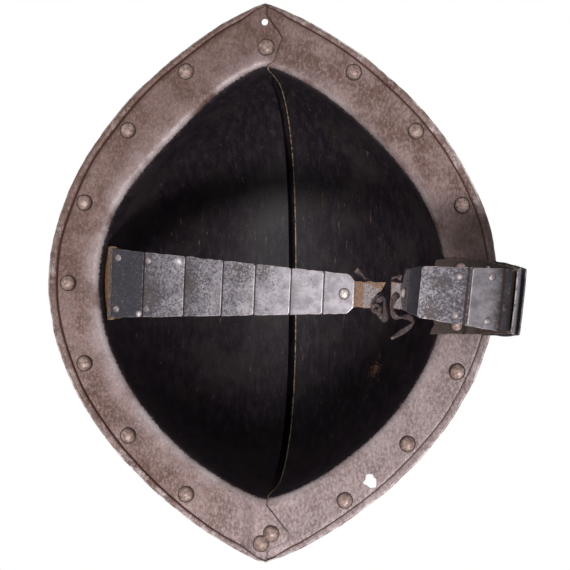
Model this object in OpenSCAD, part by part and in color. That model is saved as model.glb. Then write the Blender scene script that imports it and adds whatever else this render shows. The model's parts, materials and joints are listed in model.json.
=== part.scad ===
// Musketeer helmet: a two-piece skull with a low comb, a pointed brim and two articulated cheek straps.
// +Z is the crown, -Y the front, and left and right are as seen from the front.
// The brim's underside at the opening lies near Z = 0.

/* [Brim] */
// Length of the brim from its front point to its rear point
brim_l = 334; // [315:1:355]
// Width of the brim across the sides
brim_w = 268; // [255:1:285]
// How far the brim stands out more on the right than on the left
brim_shift = 2.8; // [0:0.1:5]
// Shape of the brim's points: 0.5 gives an ellipse, 1 gives sharp points
brim_point = 0.82; // [0.7:0.01:0.95]
// How far the brim droops at the sides
side_droop = 9; // [5:0.5:14]
// How far the brim droops at its two points
point_droop = 3; // [1:0.5:6]
// Width of the turned-under hem
hem_w = 5; // [3:0.5:8]
// Thickness that the turned-under hem adds
hem_t = 1.4; // [1:0.1:2.5]

/* [Skull] */
// Thickness of the iron sheet
sheet_t = 1.3; // [1:0.1:2]
// Length of the head opening
open_l = 257; // [245:1:270]
// Width of the head opening
open_w = 207; // [195:1:220]
// How far the opening stands out more on the right than on the left
open_shift = 2; // [0:0.1:4]
// Shape of the opening's points: 0.5 gives an ellipse, 1 gives sharp points
open_point = 0.75; // [0.65:0.01:0.85]
// Depth of the bowl from the brim to the foot of the comb
skull_h = 150; // [130:1:170]
// Radius of the flare from the brim into the wall
flare_r = 6; // [4:0.5:9]
// Roundness of the bowl from side to side, 2 gives an ellipse
side_round = 2.3; // [2:0.05:3]
// Roundness of the bowl from front to rear, 2 gives an ellipse
length_round = 2.6; // [2.1:0.05:3.2]
// Height of the comb above the bowl
comb_h = 26; // [15:1:40]
// Width of the slot inside the comb
slot_w = 4.6; // [3:0.2:7]

/* [Seams] */
// Reach of the front flap across the seam
front_flap_w = 10.6; // [8:0.2:14]
// Reach of the rear flap across the seam
rear_flap_w = 14.4; // [11:0.2:18]
// Radius of the hole at the front point
hang_r = 2; // [1.5:0.1:3]
// Distance of that hole from the front point
hang_inset = 11; // [9:0.5:14]
// Radius of the empty hole in the right of the brim
bare_hole_r = 3.8; // [2.5:0.1:4.5]

/* [Brim rivets] */
// Rivets along each side of the brim
rivet_count = 7; // [3:2:9]
// Angle about the opening from a side's first brim rivet to its last
rivet_spread = 111.6; // [60:0.6:114]
// Distance of the rivets from the brim's edge
rivet_inset = 11.5; // [9:0.5:14]
// Radius of a rivet head
rivet_head_r = 5; // [3.5:0.1:5.5]
// Height of a rivet head
rivet_head_h = 2.4; // [1.5:0.1:3.5]
// Radius of a rivet shank
rivet_r = 1.5; // [1:0.1:2]

/* [Straps] */
// Thickness of the strap leather
leather_t = 2.5; // [2:0.1:3.5]
// Thickness of a lame
lame_t = 1; // [0.8:0.1:1.4]
// How far each lame laps over the next
lap = 5; // [4:0.5:7]
// Width of the left strap at its root
left_root_w = 42; // [36:0.5:44]
// Width of the right strap at its root
right_root_w = 44; // [36:0.5:46]
// Width of both straps at the last lame
tip_w = 22.4; // [20:0.2:26]
// Width of the tie tabs
tab_w = 15; // [12:0.5:18]
// Length of the left tie tab
left_tab_l = 17.1; // [14:0.1:17.6]
// Length of the right tie tab
right_tab_l = 8.8; // [8.4:0.1:9]
// Radius of the dome of the tip rivets
dome_r = 3.5; // [2.5:0.1:4.5]
// Radius of the small lame rivets
small_head_r = 2.3; // [1.8:0.1:2.8]
// Diameter of the leather lace
lace_d = 3; // [2.5:0.1:3.2]

/* [Hidden] */
$fn = 32;
LAMES = 7;
SIDES = [-1, 1];
fit = 0.1;
seat = 0.25;
head_gap = 0.2;
seam_gap = 0.1;
function side_name(s) = s < 0 ? "left" : "right";

// Root of each strap: the left one inside the opening, the right one under the brim
left_root_inset = 6.6;
right_root_reach = 20.5;
right_root_drop = 7.4;
left_root = [half_open(-1) - left_root_inset, 0, 0];
right_root = [half_open(1) + right_root_reach, 8.2, -0.6 * side_droop - right_root_drop];
left_yaw = 2.5;
right_yaw = 6;
// Where the tie tabs start, across the helmet
left_tie_x = 55.4;
right_tie_x = 87.3;
// Slope of each link at rest, from straight outward (0) through straight down (90) to straight inward (180)
left_slopes = [172, 172, 172, 172, 172, 172, 172, 180];
right_slopes = [48, 80, 100, 159, 180, 254, 255, 180];
// Travel from one flex of a strap to the next, from the root to the tip. The left strap's links share
// the way to its tie tab, and the right strap's flat fifth link takes what the others leave.
left_shares = [17.2, 25.9, 23.6, 20, 21.8, 19.7, 23.7];
right_lengths = [21.7, 21, 21, 18.6, 0, 19.5, 22];
function sum(list, k = 0) = k == len(list) ? 0 : list[k] + sum(list, k + 1);
left_way = (left_root[0] + left_tie_x) / cos(left_yaw) / -cos(left_slopes[0]);
right_way = (right_root[0] - right_tie_x) / cos(right_yaw);
left_links = left_shares * left_way / sum(left_shares);
right_links = [for (k = [0:6]) right_lengths[k] > 0 ? right_lengths[k]
    : right_way + sum([for (i = [0:6]) right_lengths[i] * cos(right_slopes[i])])];
function root(s) = s < 0 ? left_root : right_root;
function yaw(s) = s < 0 ? left_yaw : right_yaw;
function links(s) = s < 0 ? left_links : right_links;
function slopes(s) = s < 0 ? left_slopes : right_slopes;
function root_w(s) = s < 0 ? left_root_w : right_root_w;

// The sheet's inner surface. a runs along the helmet, -90 at the front point and 90 at the rear one.
function half_open(s) = open_w / 2 + s * open_shift;
function half_brim(s) = brim_w / 2 + s * brim_shift;
function cosine(a) = max(0, cos(a));
function droop(a) = side_droop * pow(cos(a), 2) + point_droop * pow(sin(a), 2);

// The brim's underside: f is 0 at the opening and 1 at the outer edge
function brim_point_at(s, a, f) = [
    s * max(seam_gap, (1 - f) * half_open(s) * pow(cosine(a), 2 * open_point)
        + f * half_brim(s) * pow(cosine(a), 2 * brim_point)),
    ((1 - f) * open_l / 2 + f * brim_l / 2) * sin(a),
    -droop(a) * pow(max(0, f), 1.2)];
function brim_span(s, a) = norm(brim_point_at(s, a, 1) - brim_point_at(s, a, 0));
function brim_up(s, a, f) = let (
    along = brim_point_at(s, a + 1, f) - brim_point_at(s, a - 1, f),
    inward = brim_point_at(s, a, f - 0.02) - brim_point_at(s, a, f + 0.02),
    up = s * cross(along, inward)) up / norm(up);

function flare_point(s, a, turn) =
    brim_point_at(s, a, flare_r / brim_span(s, a) * (1 - sin(turn)))
    + [0, 0, flare_r * (1 - cos(turn))];

// The wall, from its half width at a height above the flare and a place along the helmet
dome_h = skull_h - flare_r;
function crown_z(a) = dome_h * pow(max(0, 1 - pow(abs(sin(a)), length_round)), 1 / length_round);
function wall_x(s, y, rise) = let (
    u = min(1, rise / dome_h),
    wide = pow(1 - pow(u, side_round), 1 / side_round),
    long = pow(max(0.000001, 1 - pow(u, length_round)), 1 / length_round),
    t = min(1, abs(y) / (open_l / 2 * long)),
    point = open_point - 0.2 * u)
    half_open(s) * wide * pow(1 - t * t, point);
function slot(a) = max(seam_gap, slot_w / 2 * min(1, 5 * cosine(a)));
function wall_point(s, a, w) = let (y = open_l / 2 * sin(a), rise = crown_z(a) * sin(90 * w))
    [s * max(slot(a), wall_x(s, y, rise)), y, flare_r + rise];

// The comb: both halves rise side by side, and the left one folds over the edge of the right one.
// Towards the two ends the fold's lip draws up, and then the fold closes.
function comb_rise(a) = comb_h * pow(cosine(a), 0.7);
FOLD_END = 75;
FOLD_LIP = 3.5;
// Each point of the profile: across, up from the bowl's crown, and lift along the crest's normal
function comb_profile(s, a, t) = let (
    x = slot(a) + t,
    top = comb_rise(a),
    over = slot(a) + sheet_t + seat + t,
    roof = sheet_t + 0.4,
    drawn = abs(a) < FOLD_END ? 0 : 1)
    s > 0 ? [[x, top / 2, 0], [x, top - 1.2, t / 2], [seam_gap, top, t]]
    : abs(a) > FOLD_END ? concat([[-x, top / 2, 0], [-x, top - 1.2, t / 2]],
        [for (k = [1:4]) [-seam_gap, top, t + (abs(a) < 84 ? roof : 0)]])
    : [[-x, top / 2, 0], [-x, top, 0.2 + t / 2],
        [-0.8 - t / 2, top, roof + t], [slot(a) + 0.8 + t / 2, top, roof + t],
        [over, top, t / 2 - 0.3 + 1.5 * drawn],
        [over, top - FOLD_LIP * (1 - drawn), 0.5 * drawn]];
function crest_line(a) = [open_l / 2 * sin(a), crown_z(a) + comb_rise(a)];
function crest_normal(a) = let (d = crest_line(min(90, a + 1)) - crest_line(max(-90, a - 1)))
    [-d[1], d[0]] / norm(d);
function comb_points(s, a, t) = let (n = crest_normal(a))
    [for (p = comb_profile(s, a, t))
        [p[0], open_l / 2 * sin(a) + p[2] * n[0], flare_r + crown_z(a) + p[1] + p[2] * n[1]]];

STATIONS = [for (a = [-90:5:90]) a];
WALL_STEPS = 9;
BRIM_FS = [0.8, 0.6, 0.4];
OPEN_COLUMN = 2 + len(BRIM_FS) + 4;
function sheet_base(s, a) = let (span = brim_span(s, a), edge = flare_r / span) concat(
    [for (inset = [0, hem_w, hem_w + 0.3]) brim_point_at(s, a, 1 - inset / span)],
    [for (f = BRIM_FS) brim_point_at(s, a, edge + (0.95 - edge) * f)],
    [for (turn = [0:30:90]) flare_point(s, a, turn)],
    [for (k = [1:WALL_STEPS]) wall_point(s, a, k / WALL_STEPS)]);
function hem_drop(a, j) = j < 2 ? hem_t * min(1, 4 * cosine(a)) : 0;

// One direction of the grid of points, one-sided at the ends
function step_along(grid, i, j) = grid[min(len(grid) - 1, i + 1)][j] - grid[max(0, i - 1)][j];
function step_across(grid, i, j) =
    grid[i][min(len(grid[i]) - 1, j + 1)] - grid[i][max(0, j - 1)];
function outward(s, grid, i, j) = let (
    n = s * cross(step_along(grid, i, j), step_across(grid, i, j)))
    norm(n) < 0.000001 ? [0, 0.6 * sign(STATIONS[i]), 0.8] : n / norm(n);
function keep_side(s, p) = [s * max(seam_gap, s * p[0]), p[1], p[2]];

// Closed sheet: inner and outer points, the four edge strips, and no face on a collapsed point
module sheet_half(s) {
    base = [for (a = STATIONS) sheet_base(s, a)];
    last = len(STATIONS) - 1;
    inner = [for (i = [0:last]) concat(
        [for (j = [0:len(base[i]) - 1]) base[i][j] - [0, 0, hem_drop(STATIONS[i], j)]],
        comb_points(s, STATIONS[i], 0))];
    outer = [for (i = [0:last]) concat(
        [for (j = [0:len(base[i]) - 1]) keep_side(s, base[i][j] + sheet_t * outward(s, base, i, j))],
        comb_points(s, STATIONS[i], sheet_t))];
    columns = len(inner[0]);
    points = concat([for (row = inner) each row], [for (row = outer) each row]);
    function at(layer, i, j) = (layer * (last + 1) + i) * columns
        + ((i == 0 || i == last) && j > OPEN_COLUMN ? OPEN_COLUMN : j);
    quads = concat(
        [for (i = [0:last - 1], j = [0:columns - 2])
            [at(1, i, j), at(1, i, j + 1), at(1, i + 1, j + 1), at(1, i + 1, j)]],
        [for (i = [0:last - 1], j = [0:columns - 2])
            [at(0, i, j), at(0, i + 1, j), at(0, i + 1, j + 1), at(0, i, j + 1)]],
        [for (i = [0:last - 1]) [at(1, i, 0), at(1, i + 1, 0), at(0, i + 1, 0), at(0, i, 0)]],
        [for (i = [0:last - 1], j = [columns - 1])
            [at(1, i + 1, j), at(1, i, j), at(0, i, j), at(0, i + 1, j)]],
        [for (j = [0:OPEN_COLUMN - 1]) [at(1, 0, j + 1), at(1, 0, j), at(0, 0, j), at(0, 0, j + 1)]],
        [for (j = [0:OPEN_COLUMN - 1])
            [at(1, last, j), at(1, last, j + 1), at(0, last, j + 1), at(0, last, j)]]);
    triangles = [for (q = quads) each [[q[0], q[1], q[2]], [q[0], q[2], q[3]]]];
    whole = [for (f = triangles)
        if (points[f[0]] != points[f[1]] && points[f[1]] != points[f[2]] && points[f[2]] != points[f[0]])
            s > 0 ? f : [f[2], f[1], f[0]]];
    polyhedron(points, whole, convexity = 10);
}

// Where things sit on the brim
module on_brim(s, a, f) {
    n = brim_up(s, a, f);
    translate(brim_point_at(s, a, f)) rotate([0, acos(n[2]), atan2(n[1], n[0])]) children();
}
function rivet_angle(s, k) = (k / (rivet_count - 1) - 0.5) * rivet_spread + (s > 0 ? 1.3 : 0);
module each_brim_rivet(s) {
    for (k = [0:rivet_count - 1]) {
        a = rivet_angle(s, k);
        on_brim(s, a, 1 - rivet_inset / brim_span(s, a)) children();
    }
}

// Places at the two points: end is -1 at the front, 1 at the rear, d the distance in from the point
point_tilt = atan(point_droop / (brim_l - open_l) * 2);
module at_point(end) {
    translate([0, end * open_l / 2, 0]) rotate([-end * point_tilt, 0, 0])
        translate([0, -end * open_l / 2, 0]) children();
}
drill = 12;
module bore(r) { translate([0, 0, -drill]) cylinder(r = r, h = 2 * drill); }
module through_point(end, x, d, r) {
    at_point(end) translate([x, end * (brim_l / 2 - d), 0]) bore(r);
}
point_w = (brim_l - open_l) / 2;
front_rivet = [0.4, 0.797 * (point_w - flare_r)];
rear_rivets = [[-2.6, 11], [3.6, 17]];
// Angle and share of the brim's width at the empty hole
bare_hole = [49.8, 0.67];

// A dome of a given radius and height, as a turned solid
function dome_profile(r, h) = let (big = (r * r + h * h) / (2 * h), sweep = asin(r / big))
    concat([[0, 0]], [for (k = [0:6]) let (t = sweep * (1 - k / 6))
        [big * sin(t), big * cos(t) - big + h]]);
module dome(r, h) {
    rotate_extrude() polygon(dome_profile(r, h));
}
// A rivet through a stack: its foot lies below z = 0 and its head above z = grip
module rivet(r, grip, head_r, head_h, foot_r, foot_h) {
    translate([0, 0, -foot_h / 2]) cylinder(r = r, h = grip + foot_h / 2 + head_h / 2);
    translate([0, 0, grip]) dome(head_r, head_h);
    rotate([180, 0, 0]) dome(foot_r, foot_h);
}

// Flaps of the left half that lap under the right half at the points
flap_gap = 0.35;
flap_level = -flap_gap - sheet_t;
flap_tilt = 3.5;
JOGGLE = [8, 14];
function outline_y(x) = brim_l / 2 * sqrt(1 - pow(x / half_brim(-1), 1 / brim_point));
function opening_y(x) = open_l / 2 * sqrt(1 - pow(x / half_open(-1), 1 / open_point));
module joggle_edge(end, x, low, high) {
    near = opening_y(x) + flare_r / 2;
    far = outline_y(x) - 1;
    translate([-x, end > 0 ? near : -far, low]) cube([0.1, far - near, high - low]);
}
module flap(end, reach) {
    at_point(end) {
        translate([0, 0, flap_level]) rotate([0, flap_tilt, 0]) linear_extrude(sheet_t)
            polygon([for (p = reach) [p[0], end * (brim_l / 2 - p[1] * flap_l)]]);
        hull() {
            joggle_edge(end, seam_gap * 2, flap_level, sheet_t / 2);
            joggle_edge(end, JOGGLE[0], flap_level, sheet_t / 2);
        }
        hull() {
            joggle_edge(end, JOGGLE[0], flap_level, sheet_t / 2);
            joggle_edge(end, JOGGLE[1], 0, sheet_t / 2);
        }
    }
}
// Each flap's outline: across the seam, and the distance in from the point as a share of its length
flap_l = point_w - flare_r / 2;
front_reach = [[-1, 0.214], [1.2, 0.214], [front_flap_w, 0.569], [0.45 * front_flap_w, 0.975],
    [1, 1], [-1, 1]];
rear_reach = [[-1, 0.214], [0.45 * rear_flap_w, 0.265], [0.92 * rear_flap_w, 0.377], [rear_flap_w, 0.49],
    [1, 0.944], [-1, 0.944]];

// Strap roots. The left leather lies on the bowl's wall and the right one under the brim.
root_rivet_z = 24;
wall_seat = 0.7;
root_rivet_y = [13, 16.3];
leather_reach = 8;
dip_gap = 1.8;
module each_left_root_rivet() {
    for (y = [-1, 1] * root_rivet_y[0])
        translate([-wall_x(-1, y, root_rivet_z - flare_r), y, root_rivet_z]) rotate([0, -90, 0]) children();
}
// Distance of the right root rivets from the opening, also as a share of the brim's width
right_rivet_d = 11.7;
right_rivet_f = right_rivet_d / brim_span(1, 0);
module each_right_root_rivet() {
    for (y = [for (d = [-1, 1]) right_root[1] + d * root_rivet_y[1]])
        on_brim(1, asin(2 * y / (open_l + right_rivet_f * (brim_l - open_l))), right_rivet_f) children();
}

module rivet_bores(s) {
    r = rivet_r + fit;
    each_brim_rivet(s) bore(r);
    through_point(-1, front_rivet[0], front_rivet[1], r);
    for (p = rear_rivets) through_point(1, p[0], p[1], r);
    through_point(-1, 0, hang_inset, hang_r);
}
module skull_left() {
    color("dimgray") difference() {
        union() {
            sheet_half(-1);
            flap(-1, front_reach);
            flap(1, rear_reach);
        }
        rivet_bores(-1);
        each_left_root_rivet() bore(rivet_r + fit);
    }
}
module skull_right() {
    color("gray") difference() {
        sheet_half(1);
        rivet_bores(1);
        each_right_root_rivet() bore(rivet_r + fit);
        on_brim(1, bare_hole[0], bare_hole[1]) bore(bare_hole_r);
    }
}
module brim_rivets() {
    color("rosybrown") for (s = SIDES) each_brim_rivet(s) translate([0, 0, -head_gap])
        rivet(rivet_r, sheet_t + 2 * head_gap, rivet_head_r, rivet_head_h, rivet_head_r, rivet_head_h);
}
module seam_rivet(end, p) {
    drop = fit + (p[0] + rivet_head_r) * tan(flap_tilt);
    grip = 2 * sheet_t + flap_gap + drop + head_gap;
    at_point(end) translate([p[0], end * (brim_l / 2 - p[1]), flap_level - drop])
        rivet(rivet_r, grip, rivet_head_r, rivet_head_h, rivet_head_r, rivet_head_h);
}
module front_seam_rivet() { color("rosybrown") seam_rivet(-1, front_rivet); }
module rear_seam_rivets() { color("rosybrown") for (p = rear_rivets) seam_rivet(1, p); }

// A closed skin between two grids of points with the same rows and columns
module slab(low, high) {
    rows = len(low);
    columns = len(low[0]);
    function at(layer, i, j) = (layer * rows + i) * columns + j;
    quads = concat(
        [for (i = [0:rows - 2], j = [0:columns - 2]) each [
            [at(1, i, j), at(1, i, j + 1), at(1, i + 1, j + 1), at(1, i + 1, j)],
            [at(0, i, j), at(0, i + 1, j), at(0, i + 1, j + 1), at(0, i, j + 1)]]],
        [for (i = [0:rows - 2]) each [
            [at(1, i, 0), at(1, i + 1, 0), at(0, i + 1, 0), at(0, i, 0)],
            [at(1, i + 1, columns - 1), at(1, i, columns - 1),
                at(0, i, columns - 1), at(0, i + 1, columns - 1)]]],
        [for (j = [0:columns - 2]) each [
            [at(1, 0, j + 1), at(1, 0, j), at(0, 0, j), at(0, 0, j + 1)],
            [at(1, rows - 1, j), at(1, rows - 1, j + 1),
                at(0, rows - 1, j + 1), at(0, rows - 1, j)]]]);
    polyhedron([for (row = concat(low, high)) each row],
        [for (q = quads) each [[q[0], q[1], q[2]], [q[0], q[2], q[3]]]]);
}

LEATHER_YS = [-1, -0.67, -0.33, 0, 0.33, 0.67, 1];
module left_root_leather() {
    half = left_root_w / 2 + 1;
    heights = [flex_gap, flare_r - 2, flare_r + 3, (flare_r + root_rivet_z) / 2, root_rivet_z,
        root_rivet_z + leather_reach];
    // Distance of the leather's outer face from the middle: straight at the flex, on the wall above
    function face_x(y, z) = z < flare_r ? left_root[0] + leather_t
        : wall_x(-1, y, z - flare_r) - wall_seat;
    outer = [for (z = heights) [for (v = LEATHER_YS) [-face_x(v * half, z), v * half, z]]];
    inner = [for (z = heights) [for (v = LEATHER_YS) [leather_t - face_x(v * half, z), v * half, z]]];
    color("peru") difference() {
        slab(inner, outer);
        each_left_root_rivet() bore(rivet_r + fit);
    }
}
module right_root_leather() {
    half = right_root_w / 2;
    // Share of the brim's width that a root rivet's head covers
    head_f = (0.8 * rivet_head_r + fit) / brim_span(1, 0);
    // The leather lies on the brim past the root rivets, but only up to a brim rivet's head
    past_roots = right_rivet_f + head_f;
    to_brim_rivet = 1 - (rivet_inset + rivet_head_r + fit) / brim_span(1, 0);
    brim_rivet = brim_point_at(1, rivet_angle(1, (rivet_count - 1) / 2), 1 - rivet_inset / brim_span(1, 0));
    low_v = (brim_rivet[1] - rivet_head_r - right_root[1] - 0.5) / half;
    high_v = (brim_rivet[1] + rivet_head_r - right_root[1] + 0.5) / half;
    function seat_end(v) = v > low_v && v < high_v ? min(past_roots, to_brim_rivet) : past_roots;
    columns = [-1, -0.75, low_v - 0.02, low_v + 0.02, high_v - 0.02, high_v + 0.25, 0.75, 1];
    // Rows of the leather on the brim, as shares of the way to the end of its seat
    shares = [-0.2, 0, 0.37, 0.74, 1];
    // Angle that gives a distance across the strap at a place on the brim
    function angle_at(v, f) = asin((right_root[1] + v * half) * 2 / (open_l + f * (brim_l - open_l)));
    function under(v, f, depth) = let (a = angle_at(v, f))
        brim_point_at(1, a, f) - (seat + depth) * brim_up(1, a, f);
    function flex(v, depth) = right_root + (v * half) * [-sin(right_yaw), cos(right_yaw), 0]
        + depth * [sin(25), 0, cos(25)] - 0.3 * [1, 0, 0];
    // It dips under the head of a brim rivet on its way to the flex
    function dip(v, depth) = under(v, seat_end(v) + head_f, depth + rivet_head_h + dip_gap);
    low = concat([for (f = shares) [for (v = columns) under(v, f * seat_end(v), leather_t)]],
        [[for (v = columns) dip(v, leather_t)], [for (v = columns) flex(v, 0)]]);
    high = concat([for (f = shares) [for (v = columns) under(v, f * seat_end(v), 0)]],
        [[for (v = columns) dip(v, 0)], [for (v = columns) flex(v, leather_t)]]);
    color("saddlebrown") difference() {
        slab(low, high);
        each_right_root_rivet() bore(rivet_r + fit);
    }
}
// A root rivet goes through the leather, its seat and the sheet
module root_rivet(under, foot) {
    translate([0, 0, -leather_t - under]) rivet(rivet_r, leather_t + under + sheet_t + 2 * head_gap,
        0.8 * rivet_head_r, 0.8 * rivet_head_h, foot * rivet_head_r, foot * rivet_head_h);
}
module left_root_rivets() {
    color("rosybrown") each_left_root_rivet() root_rivet(wall_seat + 3 * head_gap, 0.6);
}
module right_root_rivets() {
    color("rosybrown") each_right_root_rivet() root_rivet(seat + 2 * head_gap, 0.8);
}

// A strap is a chain of links. Link k starts at its flex, runs along +X, and has the lames on +Z.
flex_gap = 0.3;
lame_rise = 1.3;
plate_seat = 0.05;
function flex_at(s, k) = k == 1 ? [0, 0]
    : flex_at(s, k - 1) + links(s)[k - 2] * [cos(slopes(s)[k - 2]), -sin(slopes(s)[k - 2])];
// The same place in the helmet's own frame
function link_place(s, k) = let (p = flex_at(s, k)) [s * root(s)[0], root(s)[1], root(s)[2]]
    + [s * p[0] * cos(yaw(s)), s * p[0] * sin(yaw(s)), p[1]];
module on_link(s, k) {
    translate(link_place(s, k)) rotate([0, 0, yaw(s)]) mirror([s < 0 ? 1 : 0, 0, 0])
        rotate([0, slopes(s)[k - 1], 0]) children();
}
function run_to(s, k) = k == 1 ? 0 : run_to(s, k - 1) + links(s)[k - 2];
function strap_w(s, u) = root_w(s) + (tip_w - root_w(s)) * u / run_to(s, LAMES + 1);
function lame_start(k) = k == 1 ? 1.5 : 0.3;
function lame_end(s, k) = links(s)[k - 1] + (k == LAMES ? -0.3 : lap);
module lame_slope(s, k) {
    translate([0, 0, leather_t + plate_seat]) rotate([0, -atan(lame_rise / links(s)[k - 1]), 0]) children();
}
// Rivets show where the lame above leaves them free, and are flush where it covers them
left_rivet_x = [5.5, 7.4, 2.8, 2.8, 2.8, 2.8, 2.8];
right_rivet_x = [5.5, 2.8, 2.8, 12, 9.5, 2.8, 2.8];
function rivet_x(s, k) = (s < 0 ? left_rivet_x : right_rivet_x)[k - 1];
function rivet_y(s, k) = strap_w(s, run_to(s, k)) / 2 - 5.5;
small_r = 1.2;
tip_rivet_inset = 6;
right_tip_shift = 2;
module each_lame_rivet(s, k) {
    lame_slope(s, k) for (y = [-1, 1] * rivet_y(s, k)) translate([rivet_x(s, k), y, 0]) children();
}
module tip_rivet_place(s) {
    lame_slope(s, LAMES) translate([links(s)[LAMES - 1] - tip_rivet_inset, s > 0 ? right_tip_shift : 0, 0])
        children();
}
module lame(s, k) {
    u = run_to(s, k);
    x0 = lame_start(k);
    x1 = lame_end(s, k);
    w0 = strap_w(s, u) / 2;
    w1 = strap_w(s, u + x1) / 2;
    cut = k == LAMES ? 3.5 : 1;
    color("slategray") difference() {
        lame_slope(s, k) linear_extrude(lame_t)
            polygon([[x0, -w0 + 1], [x0 + 1, -w0], [x1 - cut, -w1], [x1, cut - w1],
                [x1, w1 - cut], [x1 - cut, w1], [x0 + 1, w0], [x0, w0 - 1]]);
        each_lame_rivet(s, k) bore(small_r + fit);
        if (k == LAMES) tip_rivet_place(s) bore(small_r + fit);
    }
}
leather_inset = 1;
module leather(s, k) {
    u = run_to(s, k);
    x0 = flex_gap / 2;
    x1 = links(s)[k - 1] - flex_gap / 2;
    w0 = strap_w(s, u) / 2 - leather_inset;
    w1 = strap_w(s, u + x1) / 2 - leather_inset;
    color("sienna") difference() {
        linear_extrude(leather_t) polygon([[x0, -w0], [x1, -w1], [x1, w1], [x0, w0]]);
        each_lame_rivet(s, k) bore(small_r + fit);
        if (k == LAMES) tip_rivet_place(s) bore(small_r + fit);
    }
}
washer_gap = 0.2;
head_lift = 0.02;
small_head_h = 0.9;
tip_dome_h = 2.2;
foot_h = 0.8;
// Metal and leather between a rivet's head and its foot: the lame stands off the leather along its link
function stack_at(s, k, x) = lame_t + plate_seat + leather_t + washer_gap
    + (x + small_head_r) * lame_rise / links(s)[k - 1];
module lame_rivets(s, k) {
    proud = k == 1 || rivet_x(s, k) > lap;
    stack = stack_at(s, k, rivet_x(s, k));
    color("silver") each_lame_rivet(s, k) translate([0, 0, lame_t - stack]) {
        if (proud) rivet(small_r, stack + head_lift, small_head_r, small_head_h, small_head_r, foot_h);
        else {
            cylinder(r = small_r, h = stack);
            rotate([180, 0, 0]) dome(small_head_r, foot_h);
        }
    }
}
module tip_rivet(s) {
    stack = stack_at(s, LAMES, links(s)[LAMES - 1] - tip_rivet_inset);
    color("white") tip_rivet_place(s) translate([0, 0, lame_t - stack])
        rivet(small_r, stack + head_lift, dome_r, tip_dome_h, small_head_r, foot_h);
}

// Tie tabs, each with its lace hole. The right one folds outward, so it turns about the leather's
// outer face.
tab_step = 0.2;
left_tab_start = 0.8;
right_tab_start = 0.2;
left_hole_x = 14.2;
right_hole_x = 4.8;
module tie_tab(start, l, shift, slant, hole_x, hole_r) {
    color("peru") difference() {
        linear_extrude(leather_t) polygon([[start, shift - tab_w / 2], [l, shift - tab_w / 2],
            [l - slant, shift + tab_w / 2], [start, shift + tab_w / 2]]);
        translate([hole_x, shift, -1]) cylinder(r = hole_r, h = leather_t + 2);
    }
}
module left_tie_tab() {
    on_link(-1, LAMES + 1)
        tie_tab(left_tab_start, left_tab_l, 0, 4, left_hole_x, lace_d / 2 + 0.4);
}
module right_tie_tab() {
    a = right_slopes[LAMES - 1];
    step = leather_t * [sin(a), cos(a)] + tab_step * [cos(a), -sin(a)];
    turn = right_slopes[LAMES];
    on_link(1, LAMES + 1) rotate([0, -turn, 0]) translate([step[0], 0, step[1]]) rotate([0, turn, 0])
        translate([0, 0, -leather_t])
            tie_tab(right_tab_start, right_tab_l, 4, 0, right_hole_x, lace_d / 2 + 0.2);
}

// Lace: tubes swept along points chosen by hand, from the flex of each tie tab
left_lace_route = [[-0.2, -14.2, 1.8], [3.1, -11.2, 1.8], [6.6, -8, 1.8], [10.6, -4, 1.8],
    [14.1, -0.1, 1.7], [14.3, 0.6, -0.9], [14.3, 0.7, -3.3], [13.6, 1.8, -5.1], [11.4, 4.4, -5.4],
    [9.2, 7.8, -5.7], [10.6, 11, -6.3], [14, 11, -7.1], [15.2, 8, -7.9], [13.2, 5.4, -8.7],
    [10.2, 6, -9.1]];
right_lace_route = [[-5.3, -6.9, 4.1], [-7.8, -7.5, 4.4], [-9.8, -6.3, 4.5], [-9.5, -3.1, 4.4],
    [-8.4, 0.3, 4.3], [-7.7, 2.9, 3.8], [-7.7, 3.2, 0.6], [-8, 3.5, -2.4], [-9.7, 5.7, -3.2],
    [-10.9, 9.5, -3.4], [-11, 13.9, -3], [-9.1, 17.3, -2.4], [-5.3, 18.5, -1.4], [-0.9, 17.5, -1],
    [1.3, 19.5, -1.2], [-1.9, 21.9, -1.8], [-6.3, 24.7, -2.4], [-10.9, 27.5, -3]];
LACE_SIDES = 8;
function unit(v) = v / norm(v);
function middle(p, q, r, t) = let (a = p + (q - p) * (0.5 + t / 2), b = q + (r - q) * (t / 2))
    a + (b - a) * t;
function smooth(route) = concat([route[0]],
    [for (i = [1:len(route) - 2], t = [0, 0.5]) middle(route[i - 1], route[i], route[i + 1], t)],
    [(route[len(route) - 2] + route[len(route) - 1]) / 2, route[len(route) - 1]]);
function heading(line, i) = unit(line[min(len(line) - 1, i + 1)] - line[max(0, i - 1)]);
function turned(n, d) = unit(n - (n * d) * d);
function frames(line, i, n) = i == len(line) ? []
    : let (m = turned(n, heading(line, i))) concat([m], frames(line, i + 1, m));
module tube(route, d) {
    line = smooth(route);
    normals = frames(line, 0, turned([0.3, 0.2, 1], heading(line, 0)));
    rings = [for (i = [0:len(line) - 1]) let (n = normals[i], b = cross(heading(line, i), n))
        each [for (k = [0:LACE_SIDES - 1]) let (t = 360 * k / LACE_SIDES)
            line[i] + d / 2 * (cos(t) * n + sin(t) * b)]];
    m = len(line) - 1;
    sides = [for (i = [0:m - 1], k = [0:LACE_SIDES - 1]) let (
        a = i * LACE_SIDES + k,
        b = i * LACE_SIDES + (k + 1) % LACE_SIDES) each [
            [a, a + LACE_SIDES, b + LACE_SIDES], [a, b + LACE_SIDES, b]]];
    caps = [[for (k = [0:LACE_SIDES - 1]) k], [for (k = [LACE_SIDES - 1:-1:0]) m * LACE_SIDES + k]];
    polyhedron(rings, concat(sides, caps), convexity = 6);
}
module lace(s) {
    color("saddlebrown") translate(link_place(s, LAMES + 1))
        tube(s < 0 ? left_lace_route : right_lace_route, lace_d);
}

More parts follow.
